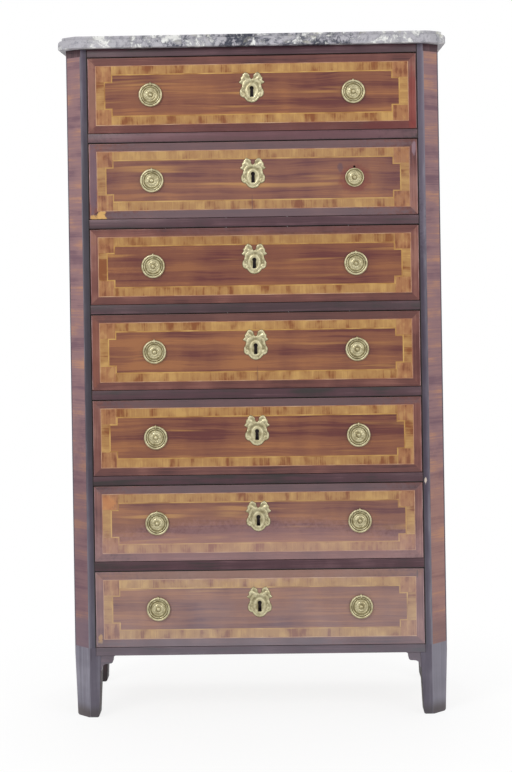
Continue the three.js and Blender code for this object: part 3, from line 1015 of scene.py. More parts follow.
class Workshop:
    """Holds the finishes and the patterns, and sets finished pieces in their places."""

    def __init__(self) -> None:
        """Mixes every finish and sets out the patterns."""
        self.materials = {entry: entry.value.material() for entry in Palette}
        self.rosettes = rosette_pattern()
        self.studs = stud_pattern()
        self.rows = row_pattern()
        self.made = 0

    def set_in(self, mesh: bpy.types.Mesh, name: str, body: str, slot: str, stands_for: Sequence[str] = (),
               smooth: float = 0.0) -> None:
        """Makes a piece of a mesh.

        Args:
            mesh: The finished mesh.
            name: The piece's name.
            body: The body that it rides on.
            slot: Not used.
            stands_for: The CAD nodes that it replaces.
            smooth: The sharpest angle in degrees that is shaded smooth, or 0 for flat shading.
        """
        piece = hang(name, mesh)
        if smooth:
            mesh.shade_smooth()
            mesh.set_sharp_from_angle(angle=math.radians(smooth))
        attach(piece, body)
        if stands_for:
            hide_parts(*stands_for)
        self.made += 1

    def place(self, shell: Shell, body: str, slot: str, stands_for: Sequence[str] = (),
              smooth: float = 30.0) -> None:
        """Makes a piece of a shell; the other values are those of set_in."""
        mesh = finished(shell.mesh, shell.name, *(self.materials[finish] for finish in shell.finishes))
        self.set_in(mesh, shell.name, body, slot, stands_for, smooth)

    def set_studs(self, places: Iterable[Place], size: Point, finish: Palette, name: str, body: str,
                  slot: str) -> None:
        """Sets nail or screw heads.

        Args:
            places: Their places.
            size: Radius and height of one.
            finish: Their finish.
            name: The piece's name.
            body: The body that it rides on.
            slot: A material slot's name, handed on to set_in.
        """
        points = bpy.data.meshes.new(name)
        points.from_pydata([tuple(place) for place in places], [], [])
        values = {"Head radius": size[0], "Head height": size[1], "Material": self.materials[finish]}
        self.set_in(self.studs.grow(points, values), name, body, slot, smooth=60)


def turned(name: str, profile: Sequence[Point], steps: int, closed: bool = False) -> bpy.types.Mesh:
    """Turns a profile round +Z.

    Args:
        name: The mesh's name.
        profile: Radius and height of each point.
        steps: Faces round the axis.
        closed: Whether the profile is a loop, as a ring's section is.

    Returns:
        The turned mesh.
    """
    mesh = bmesh.new()
    rings = []
    angles = [math.tau * step / steps for step in range(steps)]
    for radius, height in profile:
        if radius:
            spots = [(radius * math.cos(a), radius * math.sin(a), height) for a in angles]
            rings.append([mesh.verts.new(spot) for spot in spots])
        else:
            rings.append([mesh.verts.new((0, 0, height))] * steps)
    pairs = list(zip(rings, rings[1:])) + ([(rings[-1], rings[0])] if closed else [])
    for low, high in pairs:
        for step in range(steps):
            ahead = (step + 1) % steps
            mesh.faces.new(list(dict.fromkeys([low[step], low[ahead], high[ahead], high[step]])))
    for ring in () if closed else (rings[0], rings[-1]):
        if ring[0] is not ring[1]:
            mesh.faces.new(ring)
    return finished(mesh, name)


def smooth_line(points: Sequence[Point], steps: int) -> list[Point]:
    """Rounds an open line through its points (a Catmull-Rom spline).

    Args:
        points: The points.
        steps: New points for each span.

    Returns:
        The rounded line.
    """
    ends = [points[0], *points, points[-1]]
    line = []
    for span in zip(ends, ends[1:], ends[2:], ends[3:]):
        for step in range(steps):
            t = step / steps
            weights = (-t / 2 + t * t - t ** 3 / 2, 1 - 2.5 * t * t + 1.5 * t ** 3,
                       t / 2 + 2 * t * t - 1.5 * t ** 3, (t ** 3 - t * t) / 2)
            line.append(blend(weights, span))
    return [*line, points[-1]]


def blend(weights: Sequence[float], points: Sequence[Point]) -> Point:
    """The weighted sum of points."""
    return tuple(sum(weight * point[axis] for weight, point in zip(weights, points)) for axis in (0, 1))


def inset_loop(half_width: float, half_height: float, edge: float, notch: float) -> list[Point]:
    """A rectangle's outline with stepped corners.

    Args:
        half_width: Half the full width.
        half_height: Half the full height.
        edge: How far the straight sides are set in.
        notch: How far the steps reach in, or the same as edge for plain corners.

    Returns:
        Its points, counter-clockwise about the middle, from the lower left.
    """
    x0, z0, x1, z1 = half_width - edge, half_height - edge, half_width - notch, half_height - notch
    if notch > edge:
        return [(-x1, -z0), (x1, -z0), (x1, -z1), (x0, -z1), (x0, z1), (x1, z1),
                (x1, z0), (-x1, z0), (-x1, z1), (-x0, z1), (-x0, -z1), (-x1, -z1)]
    return [(-x0, -z0), (x0, -z0), (x0, z0), (-x0, z0)]


def closest_on(point: Vector, start: Vector, end: Vector) -> float:
    """Measures how far a point is from a straight piece of line.

    Args:
        point: The point.
        start: Where the line starts.
        end: Where it ends.

    Returns:
        The distance.
    """
    span = end - start
    share = max(0.0, min(1.0, (point - start).dot(span) / max(span.length_squared, 1e-12)))
    return (point - start - span * share).length


def within(point: Vector, outline: Sequence[Point]) -> bool:
    """Tells whether a point lies inside an outline.

    Args:
        point: The point.
        outline: The outline.

    Returns:
        Whether it does.
    """
    inside = False
    for (x0, y0), (x1, y1) in zip(outline, [*outline[1:], outline[0]]):
        if (y0 > point.y) != (y1 > point.y) and point.x < (x1 - x0) * (point.y - y0) / (y1 - y0) + x0:
            inside = not inside
    return inside


# The case


@dataclass
class Builder:
    """A part of the semainier that is built in the workshop."""

    shop: Workshop


@dataclass
class MarbleTop(Builder):
    """The slab: a rounded nose below, a set-back fillet above and cut front corners."""

    half_width: float = 428.5 * MM
    half_depth: float = 194 * MM
    bottom: float = 1473 * MM
    corner: float = 36 * MM
    corner_round: float = 9 * MM
    corner_steps: int = 6
    nose_height: float = 20 * MM
    nose_depth: float = 5 * MM
    nose_lip: float = 1.2 * MM
    fillet_setback: float = 8 * MM
    fillet_foot: Point = (0.2 * MM, 0.6 * MM)
    thickness: float = 27 * MM
    foot_round: float = 2.5 * MM
    crown_round: float = 8 * MM
    arris: float = 2 * MM
    arris_steps: int = 4
    round_steps: int = 8

    def profile(self) -> list[Point]:
        """Draws the edge's section.

        Returns:
            How far in and how high each line of the edge runs, from the bottom to the top.
        """
        quarter = [math.pi / 2 * step / self.round_steps for step in range(self.round_steps + 1)]
        foot, crown = self.foot_round, self.crown_round
        nose = [(foot * (1 - math.sin(a)), foot * (1 - math.cos(a))) for a in quarter]
        lift = self.nose_height - crown
        nose += [(self.nose_depth * (1 - math.cos(a)), lift + crown * math.sin(a)) for a in quarter]
        setback, arris = self.fillet_setback, self.arris
        cove = (setback + self.fillet_foot[0], self.nose_height + self.fillet_foot[1])
        turns = [math.pi / 2 * step / self.arris_steps for step in range(self.arris_steps + 1)]
        edge = self.thickness - arris
        rim = [(setback + arris * (1 - math.cos(a)), edge + arris * math.sin(a)) for a in turns]
        return [*nose, (self.nose_depth + self.nose_lip, self.nose_height), cove, *rim]

    def plan(self, inset: float) -> list[Point]:
        """Draws the slab's outline.

        Args:
            inset: How far it is set in.

        Returns:
            Its points.
        """
        half, depth = self.half_width - inset, self.half_depth - inset
        corner = self.corner - inset * (2 - math.sqrt(2))
        slant, bend = self.corner_round / math.sqrt(2), self.corner_round
        side = ((half, corner - depth + bend), (half, corner - depth),
                (half - slant, corner - slant - depth))
        front = ((half - corner + slant, slant - depth), (half - corner, -depth),
                 (half - corner - bend, -depth))
        right = [(half, depth)]
        for turn in (side, front):
            for step in range(self.corner_steps + 1):
                t = step / self.corner_steps
                right.append(blend(((1 - t) ** 2, 2 * t * (1 - t), t * t), turn))
        return right + [(-x, y) for x, y in reversed(right)]

    def build(self) -> None:
        """Sweeps the edge's profile round the plan."""
        shell = Shell("grey_marble_top")
        loops = [[(x, y, self.bottom + height) for x, y in self.plan(inset)]
                 for inset, height in self.profile()]
        for low, high in zip(loops, loops[1:]):
            shell.wall(low, high, Palette.MARBLE)
        for loop in (loops[0], loops[-1]):
            shell.face(loop, Palette.MARBLE)
        self.shop.place(shell, "carcass", "marble", ["marble_top"], smooth=40)


@dataclass
class Stiles(Builder):
    """The corner posts. Each front one shows veneered borders on its front and a crossbanded cant."""

    dark_edge: float = 3.5 * MM
    strip: float = 44.5 * MM
    highlight_strip: float = 1.6 * MM
    strip_top: float = 1456 * MM
    strip_foot: float = 153 * MM
    gap_shade: float = 1.6 * MM
    ease: float = 1.1 * MM
    bracket_ease: float = 0.6 * MM

    def front_rule(self, side: int) -> Rule:
        """Picks what the faces of one front post are dressed in.

        Args:
            side: -1 on the left and 1 on the right.

        Returns:
            The rule.
        """
        arris = side * (CASE.half - CASE.cant)
        facing = Vector((side, -1, 0)).normalized()
        marks = (self.dark_edge, self.dark_edge + self.strip)

        def on_cant(middle: Vector) -> Dressing:
            """Dresses the cant: its strip, dark edges, the inner border with its painted highlight, and
            foot.

            Args:
                middle: The face's middle.

            Returns:
                What it is dressed in.
            """
            mark = (middle - self.outer_edge(side)).dot(self.inward(side))
            if marks[0] < mark < marks[1] and self.strip_foot < middle.z < self.strip_top:
                return Dressing(Palette.CANT, UPWARD, (1.3 * side, 0.0))
            if middle.z > self.strip_top:
                return Dressing(Palette.RAIL, UPWARD, (0.6 * side, 0.2))
            # The inner border beside the arris gets the painted highlight.
            if mark > marks[1] and middle.z > self.strip_foot:
                return Dressing(Palette.ARRIS_HIGHLIGHT, UPWARD, (0.4 * side, 0.7))
            finish = Palette.FOOT if middle.z < self.strip_foot else Palette.STILE
            return Dressing(finish, UPWARD, (0.4 * side, 0.2))

        def rule(middle: Vector, normal: Vector) -> Dressing:
            """Dresses the worn arrises with their painted highlight, the painted shade beside the drawers,
            and the plain faces.

            Args:
                middle: The face's middle.
                normal: Its normal.

            Returns:
                What it is dressed in.
            """
            if normal.dot(facing) > 0.98:
                return on_cant(middle)
            on_edge = max(abs(normal.x), abs(normal.y), abs(normal.z), normal.dot(facing)) < 0.985
            # Eased faces at the arris get the painted highlight.
            if on_edge and abs(middle.x - arris) < 2 * self.highlight_strip:
                return Dressing(Palette.ARRIS_HIGHLIGHT, UPWARD)
            above_foot = middle.z > self.strip_foot
            # A strip beside the drawer openings gets painted shade with some dirt.
            if abs(middle.x) < CASE.opening_half + self.gap_shade and above_foot:
                return Dressing(Palette.JOINT_SHADE, UPWARD)
            if normal.y < -0.98 and above_foot:
                return Dressing(Palette.POST, UPWARD, (0.9 * side, arris))
            # Inner and back faces of the feet get dark wood with painted shade.
            if middle.z < self.strip_foot and (normal.x * side < -0.5 or normal.y > 0.5):
                return Dressing(Palette.SHADED_REAR, UPWARD, (0.9 * side, 0.8))
            return Dressing(Palette.STILE, UPWARD, (0.9 * side, 0.5))

        return rule

    def outer_edge(self, side: int) -> Vector:
        """A point on the cant's outer edge."""
        return Vector((side * CASE.half, CASE.front + CASE.cant, 0))

    def inward(self, side: int) -> Vector:
        """The direction across the cant, from its outer edge."""
        return Vector((-side, -1, 0)).normalized()

    def build_front(self, side: int) -> None:
        """Builds one front post with its foot.

        Args:
            side: -1 on the left and 1 on the right.
        """
        node = f"{SIDES[side]}_front_stile"
        shell = Shell.from_node(node, f"{SIDES[side]}_front_post", self.ease)
        outer, inward = self.outer_edge(side), self.inward(side)
        for mark in (self.dark_edge, self.dark_edge + self.strip):
            shell.cut(outer + inward * mark, inward)
        arris = side * (CASE.half - CASE.cant)
        # Joint lines for the painted highlight strip at the arris and the painted shade strip beside the
        # drawers.
        shell.cut_across(RIGHT, arris - side * self.highlight_strip, side * (CASE.opening_half + self.gap_shade))
        shell.cut_across(UPWARD, self.strip_foot, self.strip_top)
        shell.dress(self.front_rule(side))
        self.shop.place(shell, "carcass", "dark_veneer", [node])

    def build_rear(self, side: int) -> None:
        """Builds one rear post with its foot, veneered outside and dark with painted shade elsewhere.

        Args:
            side: -1 on the left and 1 on the right.
        """
        node = f"{SIDES[side]}_rear_stile"
        shell = Shell.from_node(node, f"{SIDES[side]}_rear_post", self.ease)
        finishes, shift = (Palette.SHADED_REAR, Palette.STILE), (0.3 * side, 1.1)
        shell.dress(lambda middle, normal: Dressing(finishes[normal.x * side > 0.5], UPWARD, shift))
        self.shop.place(shell, "carcass", "dark_veneer", [node])

    def build_bracket(self, side: int) -> None:
        """Builds one shaped bracket beside a front foot.

        Args:
            side: -1 on the left and 1 on the right.
        """
        node = f"{SIDES[side]}_foot_bracket"
        shell = Shell.from_node(node, f"{SIDES[side]}_shaped_bracket", self.bracket_ease)
        shell.dress(all_over(Palette.RAIL, RIGHT, (0.2 * side, 0.7)))
        self.shop.place(shell, "carcass", "dark_veneer", [node])

    def build(self) -> None:
        """Builds the posts and brackets of both sides."""
        for side in SIDES:
            self.build_front(side)
            self.build_rear(side)
            self.build_bracket(side)


@dataclass
class Joinery(Builder):
    """The rails, dust boards, bottom board, side panels and back boards."""

    side_border: float = 34 * MM
    side_line: float = 2 * MM
    veneered: float = 6 * MM
    gap_shade: float = 1.3 * MM
    back_boards: int = 5
    board_gap: float = 0.8 * MM
    board_ease: float = 1.2 * MM
    nail_inset: float = 14 * MM
    nail_sink: float = 0.2 * MM
    nail_shares: Point = (0.15, 0.85)
    nail_head: Point = (3.2 * MM, 0.9 * MM)

    def rail_rule(self, number: int, node: str) -> Rule:
        """Dresses a rail in dark veneer with painted shade and some dirt beside the drawers, and the rest in
        plain wood.

        Args:
            number: The rail's number from the top.
            node: Its CAD node.

        Returns:
            The rule.
        """
        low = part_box(node)[0][2]

        def rule(middle: Vector, normal: Vector) -> Dressing:
            """Picks by depth, height and place along the rail.

            Args:
                middle: The face's middle.
                normal: Its normal.

            Returns:
                What it is dressed in.
            """
            if middle.y >= CASE.front + self.veneered:
                return Dressing(Palette.PLAIN, RIGHT, (0.23 * number, 0.31 * number))
            # Painted shade with some dirt along the lower edge, where the drawer gap lies, and at the ends.
            below = middle.z < low + self.gap_shade and node != "bottom_rail"
            if below or abs(middle.x) > CASE.opening_half - self.gap_shade / 2:
                return Dressing(Palette.JOINT_SHADE, RIGHT)
            return Dressing(Palette.RAIL, RIGHT, (0.37 * number, 0.11 * number))

        return rule

    def build_rails(self) -> None:
        """Builds the top and bottom rails, the six between the drawers and the bottom board."""
        nodes = ["top_rail", *(f"divider_{number}" for number in range(1, DRAWERS)), "bottom_rail"]
        for number, node in enumerate(nodes):
            shell = Shell.from_node(node, f"veneered_{node}")
            shell.cut_across(BACKWARD, CASE.front + self.veneered)
            # Joint line for the painted shade strip along the rail's lower edge.
            shell.cut_across(UPWARD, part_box(node)[0][2] + self.gap_shade)
            shell.dress(self.rail_rule(number, node))
            self.shop.place(shell, "carcass", "dark_veneer", [node])
        shell = Shell.from_node("bottom_board", "plain_bottom_board")
        shell.dress(all_over(Palette.PLAIN, RIGHT, (2.0, 0.4)))
        self.shop.place(shell, "carcass", "plain_wood", ["bottom_board"])

    def build_side(self, side: int) -> None:
        """Builds a side panel: a quartered field in a crossbanded border with a pale line.

        Args:
            side: -1 on the left and 1 on the right.
        """
        node = f"{SIDES[side]}_side_panel"
        (_, front, foot), (_, back, head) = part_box(node)
        shell = Shell.from_node(node, f"{SIDES[side]}_veneered_side")
        border, line = self.side_border, self.side_line
        for inset in (border, border + line):
            shell.cut_across(BACKWARD, front + inset, back - inset)
            shell.cut_across(UPWARD, foot + inset, head - inset)
        middle_y, middle_z = (front + back) / 2, (foot + head) / 2
        shell.cut_across(BACKWARD, middle_y)
        shell.cut_across(UPWARD, middle_z)

        def rule(middle: Vector, normal: Vector) -> Dressing:
            """Picks by how far a face is from the panel's edge.

            Args:
                middle: The face's middle.
                normal: Its normal.

            Returns:
                What it is dressed in.
            """
            if normal.x * side < 0.9:
                return Dressing(Palette.PLAIN, UPWARD, (0.1, 0.6))
            from_post = min(middle.y - front, back - middle.y)
            reach = min(from_post, middle.z - foot, head - middle.z)
            along = UPWARD if from_post < border else BACKWARD
            if reach < border:
                return Dressing(Palette.BORDER, along, (0.8 * side, 0.5))
            if reach < border + line:
                return Dressing(Palette.LINE, along)
            quarter = (middle.y > middle_y) * 0.37 + (middle.z > middle_z) * 0.71
            return Dressing(Palette.FIELD, UPWARD, (quarter, quarter * side))

        shell.dress(rule)
        self.shop.place(shell, "carcass", "side_veneer", [node])

    def build_back(self) -> None:
        """Builds the back of wide upright boards, with three rows of nails."""
        low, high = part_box("back_panel")
        width = (high[0] - low[0]) / self.back_boards
        last = self.back_boards - 1
        for number in range(self.back_boards):
            left = low[0] + number * width + (self.board_gap / 2 if number else 0)
            right = low[0] + (number + 1) * width - (self.board_gap / 2 if number < last else 0)
            shell = Shell(f"back_board_{number + 1}")
            shell.block((left, low[1], low[2]), (right, high[1], high[2]), self.board_ease)
            shell.dress(all_over(Palette.BACK, UPWARD, (0.7 * number, 0.43 * number)))
            self.shop.place(shell, "carcass", "plain_wood", [] if number else ["back_panel"], smooth=0)
        rows = (low[2] + self.nail_inset, (low[2] + high[2]) / 2, high[2] - self.nail_inset)
        across = [low[0] + width * (number + share) for number in range(self.back_boards)
                  for share in self.nail_shares]
        places = [(x, high[1] - self.nail_sink, z) for x in across for z in rows]
        self.shop.set_studs(places, self.nail_head, Palette.IRON, "back_nails", "carcass", "steel")

    def build(self) -> None:
        """Builds all of it."""
        self.build_rails()
        for side in SIDES:
            self.build_side(side)
        self.build_back()


# The drawers


@dataclass(frozen=True)
class FrontSizes:
    """A drawer front and its marquetry, measured in from the front's edge."""

    half_width: float = 361.3 * MM
    low: float = 1.0 * MM
    high: float = 166.6 * MM
    thickness: float = 22 * MM
    # How far back from the face the painted shade on the front's edges reaches.
    gap_shade_depth: float = 4 * MM
    ease: float = 0.9 * MM
    # Width of the rubbed strip that carries a painted highlight on the upright sides.
    edge_highlight: float = 0.9 * MM
    border: float = 17 * MM
    line: float = 1.4 * MM
    band: float = 17.5 * MM
    inlay: float = 2.6 * MM
    step: float = 16 * MM
    opening_middle: float = 84.1 * MM
    keyhole_rise: float = 4 * MM
    keyhole_height: float = 24 * MM
    keyhole_radius: float = 4.7 * MM
    keyhole_slot_top: float = 6.6 * MM
    keyhole_slot_foot: float = 8.2 * MM
    keyhole_depth: float = 21 * MM
    round_steps: int = 12
    pin_place: float = 223 * MM
    pin_height: float = 107.7 * MM
    pin_radius: float = 2.6 * MM
    pin_depth: float = 13 * MM

    @property
    def half_height(self) -> float:
        """Half the front's height."""
        return (self.high - self.low) / 2

    @property
    def middle(self) -> float:
        """The height of its middle above the opening's bottom."""
        return (self.high + self.low) / 2

    @property
    def keyhole_place(self) -> float:
        """The height of the keyhole's middle above the opening's bottom."""
        return self.opening_middle + self.keyhole_rise

    @property
    def keyhole_middle(self) -> float:
        """The height of the keyhole's middle above the front's own middle."""
        return self.opening_middle + self.keyhole_rise - self.middle

    @property
    def keyhole_foot(self) -> float:
        """The height of the keyhole's foot above the front's own middle."""
        return self.keyhole_middle - self.keyhole_height / 2

    def keyhole(self) -> list[Point]:
        """Draws the keyhole's outline about the front's middle.

        Returns:
            Its points, from the top of its slot's right side round the top to the slot's foot.
        """
        radius = self.keyhole_radius
        centre = self.keyhole_middle + self.keyhole_height / 2 - radius
        start = math.asin(self.keyhole_slot_top / 2 / radius) - math.pi / 2
        turn = math.pi - 2 * start
        angles = [start + turn * step / self.round_steps for step in range(self.round_steps + 1)]
        round_part = [(radius * math.cos(a), centre + radius * math.sin(a)) for a in angles]
        half = self.keyhole_slot_foot / 2
        return [*round_part, (-half, self.keyhole_foot), (half, self.keyhole_foot)]


@dataclass
class DrawerPart(Builder):
    """What the parts of one drawer share.

    Attributes:
        number: The drawer's number from the top.
        origin: The middle of its opening's bottom, in the case's front plane.
    """

    number: int
    origin: Vector

    @property
    def body(self) -> str:
        """The body that the drawer's fixed parts ride on."""
        return f"drawer_{self.number}"

    def at(self, x: float, y: float, z: float) -> Vector:
        """A point given from the origin."""
        return self.origin + Vector((x, y, z))


@dataclass
class DrawerFront(DrawerPart):
    """One veneered front: border, pale line, crossband with stepped corners, inner line and field."""

    sizes: FrontSizes = FrontSizes()
    seed_step: float = 1.37

    @property
    def seed(self) -> float:
        """Where this front's veneers were cut from."""
        return self.seed_step * self.number

    def loop(self, edge: float, notch: float | None = None, depth: float = 0) -> list[Place]:
        """An outline on the front in the frame's coordinates.

        Args:
            edge: How far its straight sides are set in.
            notch: How far its stepped corners reach in, or None for plain corners.
            depth: How deep it lies behind the front's face.

        Returns:
            Its points.
        """
        sizes, notch = self.sizes, edge if notch is None else notch
        flat = inset_loop(sizes.half_width, sizes.half_height, edge, notch)
        return [self.spot(x, depth, z) for x, z in flat]

    def spot(self, x: float, depth: float, z: float) -> Place:
        """A point given from the front's middle."""
        return (x, self.origin.y + depth, self.origin.z + self.sizes.middle + z)

    def ring(self, shell: Shell, outer: list, inner: list, finish: Palette,
             upright: Palette | None = None) -> None:
        """Fills the strip between two outlines of as many points, mitred at the corners.

        Args:
            shell: The front's shell.
            outer: The outer outline.
            inner: The inner outline.
            finish: The finish of all sides.
            upright: Another finish for the two upright sides.
        """
        for step in range(len(outer)):
            ahead = (step + 1) % len(outer)
            corners = [outer[step], outer[ahead], inner[ahead], inner[step]]
            level = abs(outer[ahead][0] - outer[step][0]) > abs(outer[ahead][2] - outer[step][2])
            ways = (RIGHT, UPWARD) if level else (UPWARD, RIGHT)
            shift = (self.seed + 0.77 * step, 0.31 * step + self.seed)
            shell.face(corners, finish if level else upright or finish, *ways, shift)

    def marquetry(self, shell: Shell) -> None:
        """Lays the veneers of the face, from the border in to the field.

        Args:
            shell: The front's shell.
        """
        sizes, seed = self.sizes, self.seed
        band_out = sizes.border + sizes.line
        inlay_out = band_out + sizes.band
        notch = inlay_out + sizes.step
        # The rubbed strip round the face: a painted highlight on its upright sides.
        highlight_in = self.loop(sizes.ease + sizes.edge_highlight)
        border_in = self.loop(sizes.border)
        self.ring(shell, self.loop(sizes.ease), highlight_in, Palette.BORDER, Palette.EDGE_HIGHLIGHT)
        self.ring(shell, highlight_in, border_in, Palette.BORDER, Palette.SIDE_BORDER)
        rows, steps = self.loop(band_out), self.loop(band_out, notch)
        outline, notches = self.loop(inlay_out, notch), self.loop(notch)
        for side in range(4):
            first, second, last = 3 * side, 3 * side + 1, (3 * side - 2) % 12
            ahead = (side + 1) % 4
            ways = (UPWARD, RIGHT) if side % 2 else (RIGHT, UPWARD)
            line = [border_in[side], border_in[ahead], rows[ahead], steps[second], steps[first], rows[side]]
            shell.face(line, Palette.LINE, *ways, (seed, 0))
            band = [steps[first], steps[second], outline[second], outline[first]]
            shell.face(band, Palette.BAND, *ways, (seed + side, seed))
            square = [rows[side], steps[first], outline[first], notches[side], outline[last], steps[last]]
            shell.face(square, Palette.CORNER, RIGHT, UPWARD, (seed + side * 0.9, side * 0.4))
        inner = self.loop(inlay_out + sizes.inlay, notch + sizes.inlay)
        self.ring(shell, outline, inner, Palette.INLAY)
        self.field(shell, inner)

    def field(self, shell: Shell, inner: list) -> None:
        """Lays the field in two halves that meet at the keyhole, and lines the keyhole.

        Args:
            shell: The front's shell.
            inner: The field's outline.
        """
        hole = [self.spot(x, 0, z) for x, z in self.sizes.keyhole()]
        low_middle, high_middle = (self.spot(0, 0, inner[number][2] - self.origin.z - self.sizes.middle)
                                   for number in (0, 6))
        crown, foot = hole[6], self.spot(0, 0, self.sizes.keyhole_foot)
        right = [low_middle, *inner[1:7], high_middle, crown, *reversed(hole[:6]), hole[-1], foot]
        left = [high_middle, *inner[7:], inner[0], low_middle, foot, hole[-2], *reversed(hole[7:-2]), crown]
        halves = [left, right]
        if (self.number, 1) == MISSING_RING:
            halves = [left, *self.pin_hole(shell, right, inner)]
        for half in halves:
            shell.face(half, Palette.FIELD, RIGHT, UPWARD, (self.seed * 2.0, self.seed * 0.7))
        self.bore(shell, [*hole[:-1], foot, hole[-1]], self.sizes.keyhole_depth, Palette.RAIL)

    def bore(self, shell: Shell, rim: list, depth: float, finish: Palette) -> None:
        """Lines a hole in the face.

        Args:
            shell: The front's shell.
            rim: The hole's outline.
            depth: Its depth.
            finish: Its finish.
        """
        deep = [(x, y + depth, z) for x, y, z in rim]
        shell.wall(rim, deep, finish, BACKWARD)
        shell.face(deep, finish)

    def pin_hole(self, shell: Shell, half: list, inner: list) -> list[list]:
        """Bores the empty hole of the lost ring's pin.

        Args:
            shell: The front's shell.
            half: The right half of the field, from the middle of its foot.
            inner: The field's outline.

        Returns:
            The two parts of the half, which meet on an upright line through the hole.
        """
        sizes = self.sizes
        height = sizes.pin_height - sizes.middle
        radius, place = sizes.pin_radius, sizes.pin_place
        angles = [-math.pi / 2 + math.tau * step / sizes.round_steps for step in range(sizes.round_steps)]
        rim = [self.spot(place + radius * math.cos(a), 0, height + radius * math.sin(a)) for a in angles]
        # The pin hole is lined with dark joint dirt and painted shade.
        self.bore(shell, rim, sizes.pin_depth, Palette.JOINT_SHADE)
        foot, head = ((place, *inner[number][1:]) for number in (0, 6))
        near = [half[0], foot, rim[0], *reversed(rim[6:]), head, *half[7:]]
        far = [foot, *half[1:7], head, *reversed(rim[:7])]
        return [near, far]

    def build(self) -> None:
        """Builds the board with its veneers."""
        shell = Shell(f"marquetry_front_{self.number}")
        self.marquetry(shell)
        ease = self.sizes.ease
        turns = (0, math.pi / 6, math.pi / 3)
        rounds = [(ease * (1 - math.sin(a)), ease * (1 - math.cos(a))) for a in turns]
        loops = [self.loop(inset, depth=depth) for inset, depth in [*rounds, (0, ease)]]
        # The upright eased edges carry a painted highlight; the outer round and the edge faces behind it
        # carry painted shade with some dirt.
        finishes = ((Palette.BORDER, Palette.EDGE_HIGHLIGHT), (Palette.BORDER, Palette.EDGE_HIGHLIGHT), (Palette.JOINT_SHADE, None))
        for near, far, (finish, upright) in zip(loops, loops[1:], finishes):
            self.ring(shell, far, near, finish, upright)
        loops.append(self.loop(0, depth=self.sizes.gap_shade_depth))
        self.ring(shell, loops[-2], loops[-1], Palette.JOINT_SHADE)
        back = self.loop(0, depth=self.sizes.thickness)
        self.ring(shell, loops[-1], back, Palette.PLAIN, Palette.END)
        shell.face(back, Palette.PLAIN, RIGHT, UPWARD, (self.seed, self.seed))
        self.shop.place(shell, self.body, "drawer_marquetry", [f"drawer_front_{self.number}"])


@dataclass
class DrawerBox(DrawerPart):
    """The sides, back and bottom behind a front, joined by dovetails."""

    half: float = 360.5 * MM
    front: float = 22.3 * MM
    back: float = 348 * MM
    side_thickness: float = 12 * MM
    side_low: float = 0.3 * MM
    side_high: float = 150.3 * MM
    back_low: float = 14.2 * MM
    back_high: float = 138 * MM
    bottom_low: float = 6 * MM
    bottom_high: float = 14 * MM
    gap: float = 0.05 * MM
    ease: float = 0.8 * MM
    tails: int = 4
    tail_end: float = 9 * MM
    tail_start: float = 22 * MM
    tail_wide: float = 27 * MM
    tail_narrow: float = 19 * MM
    tail_outside: float = 361.36 * MM
    tail_inside: float = 359 * MM

    def board(self, name: str, low: Place, high: Place, along: Vector,
              stands_for: Sequence[str] = ()) -> None:
        """Builds one board of the box.

        Args:
            name: The board's name.
            low: Its lowest corner from the origin.
            high: Its highest corner from the origin.
            along: Direction of its grain.
            stands_for: The CAD nodes that it replaces.
        """
        shell = Shell(f"{name}_{self.number}")
        shell.block(self.at(*low), self.at(*high), self.ease)
        shift = (0.53 * self.number, 0.29 * self.number + len(name) * 0.13)
        shell.dress(all_over(Palette.PLAIN, along, shift))
        self.shop.place(shell, self.body, "plain_wood", stands_for, smooth=0)

    def dovetails(self, side: int) -> None:
        """Sets the tails, flush with the outside of the joint.

        Args:
            side: -1 on the left and 1 on the right.
        """
        shell = Shell("tail")
        narrow, wide = self.tail_narrow / 2, self.tail_wide / 2
        start, end = self.tail_start, self.tail_end
        plan = [(start, -narrow), (end, -wide), (end, wide), (start, narrow)]
        skin = [[(side * x, self.origin.y + y, self.origin.z + z) for y, z in plan]
                for x in (self.tail_outside, self.tail_inside)]
        for loop in skin:
            shell.face(loop, Palette.PLAIN, BACKWARD, UPWARD, (0.3 * self.number, 0.0))
        shell.wall(*skin, Palette.PLAIN)
        mesh = finished(shell.mesh, "tail")
        pitch = (self.side_high - self.side_low) / self.tails
        mesh.transform(Matrix.Translation((0, 0, self.side_low + pitch / 2)))
        values = {"Count": self.tails, "Pitch": pitch, "Material": self.shop.materials[Palette.PLAIN]}
        name = f"{SIDES[side]}_dovetails_{self.number}"
        self.shop.set_in(self.shop.rows.grow(mesh, values), name, self.body, "plain_wood")

    def build(self) -> None:
        """Builds the boards and the tails that show on the front's ends."""
        for side in SIDES:
            low, high = sorted((side * self.half, side * (self.half - self.side_thickness)))
            stands_for = [f"drawer_box_{self.number}"] if side < 0 else []
            self.board(f"{SIDES[side]}_drawer_side", (low, self.front, self.side_low),
                       (high, self.back, self.side_high), BACKWARD, stands_for)
            self.dovetails(side)
        inner = self.half - self.side_thickness - self.gap
        self.board("drawer_back", (-inner, self.back - self.side_thickness, self.back_low),
                   (inner, self.back, self.back_high), RIGHT)
        self.board("drawer_bottom", (-inner, self.front, self.bottom_low),
                   (inner, self.back, self.bottom_high), RIGHT)


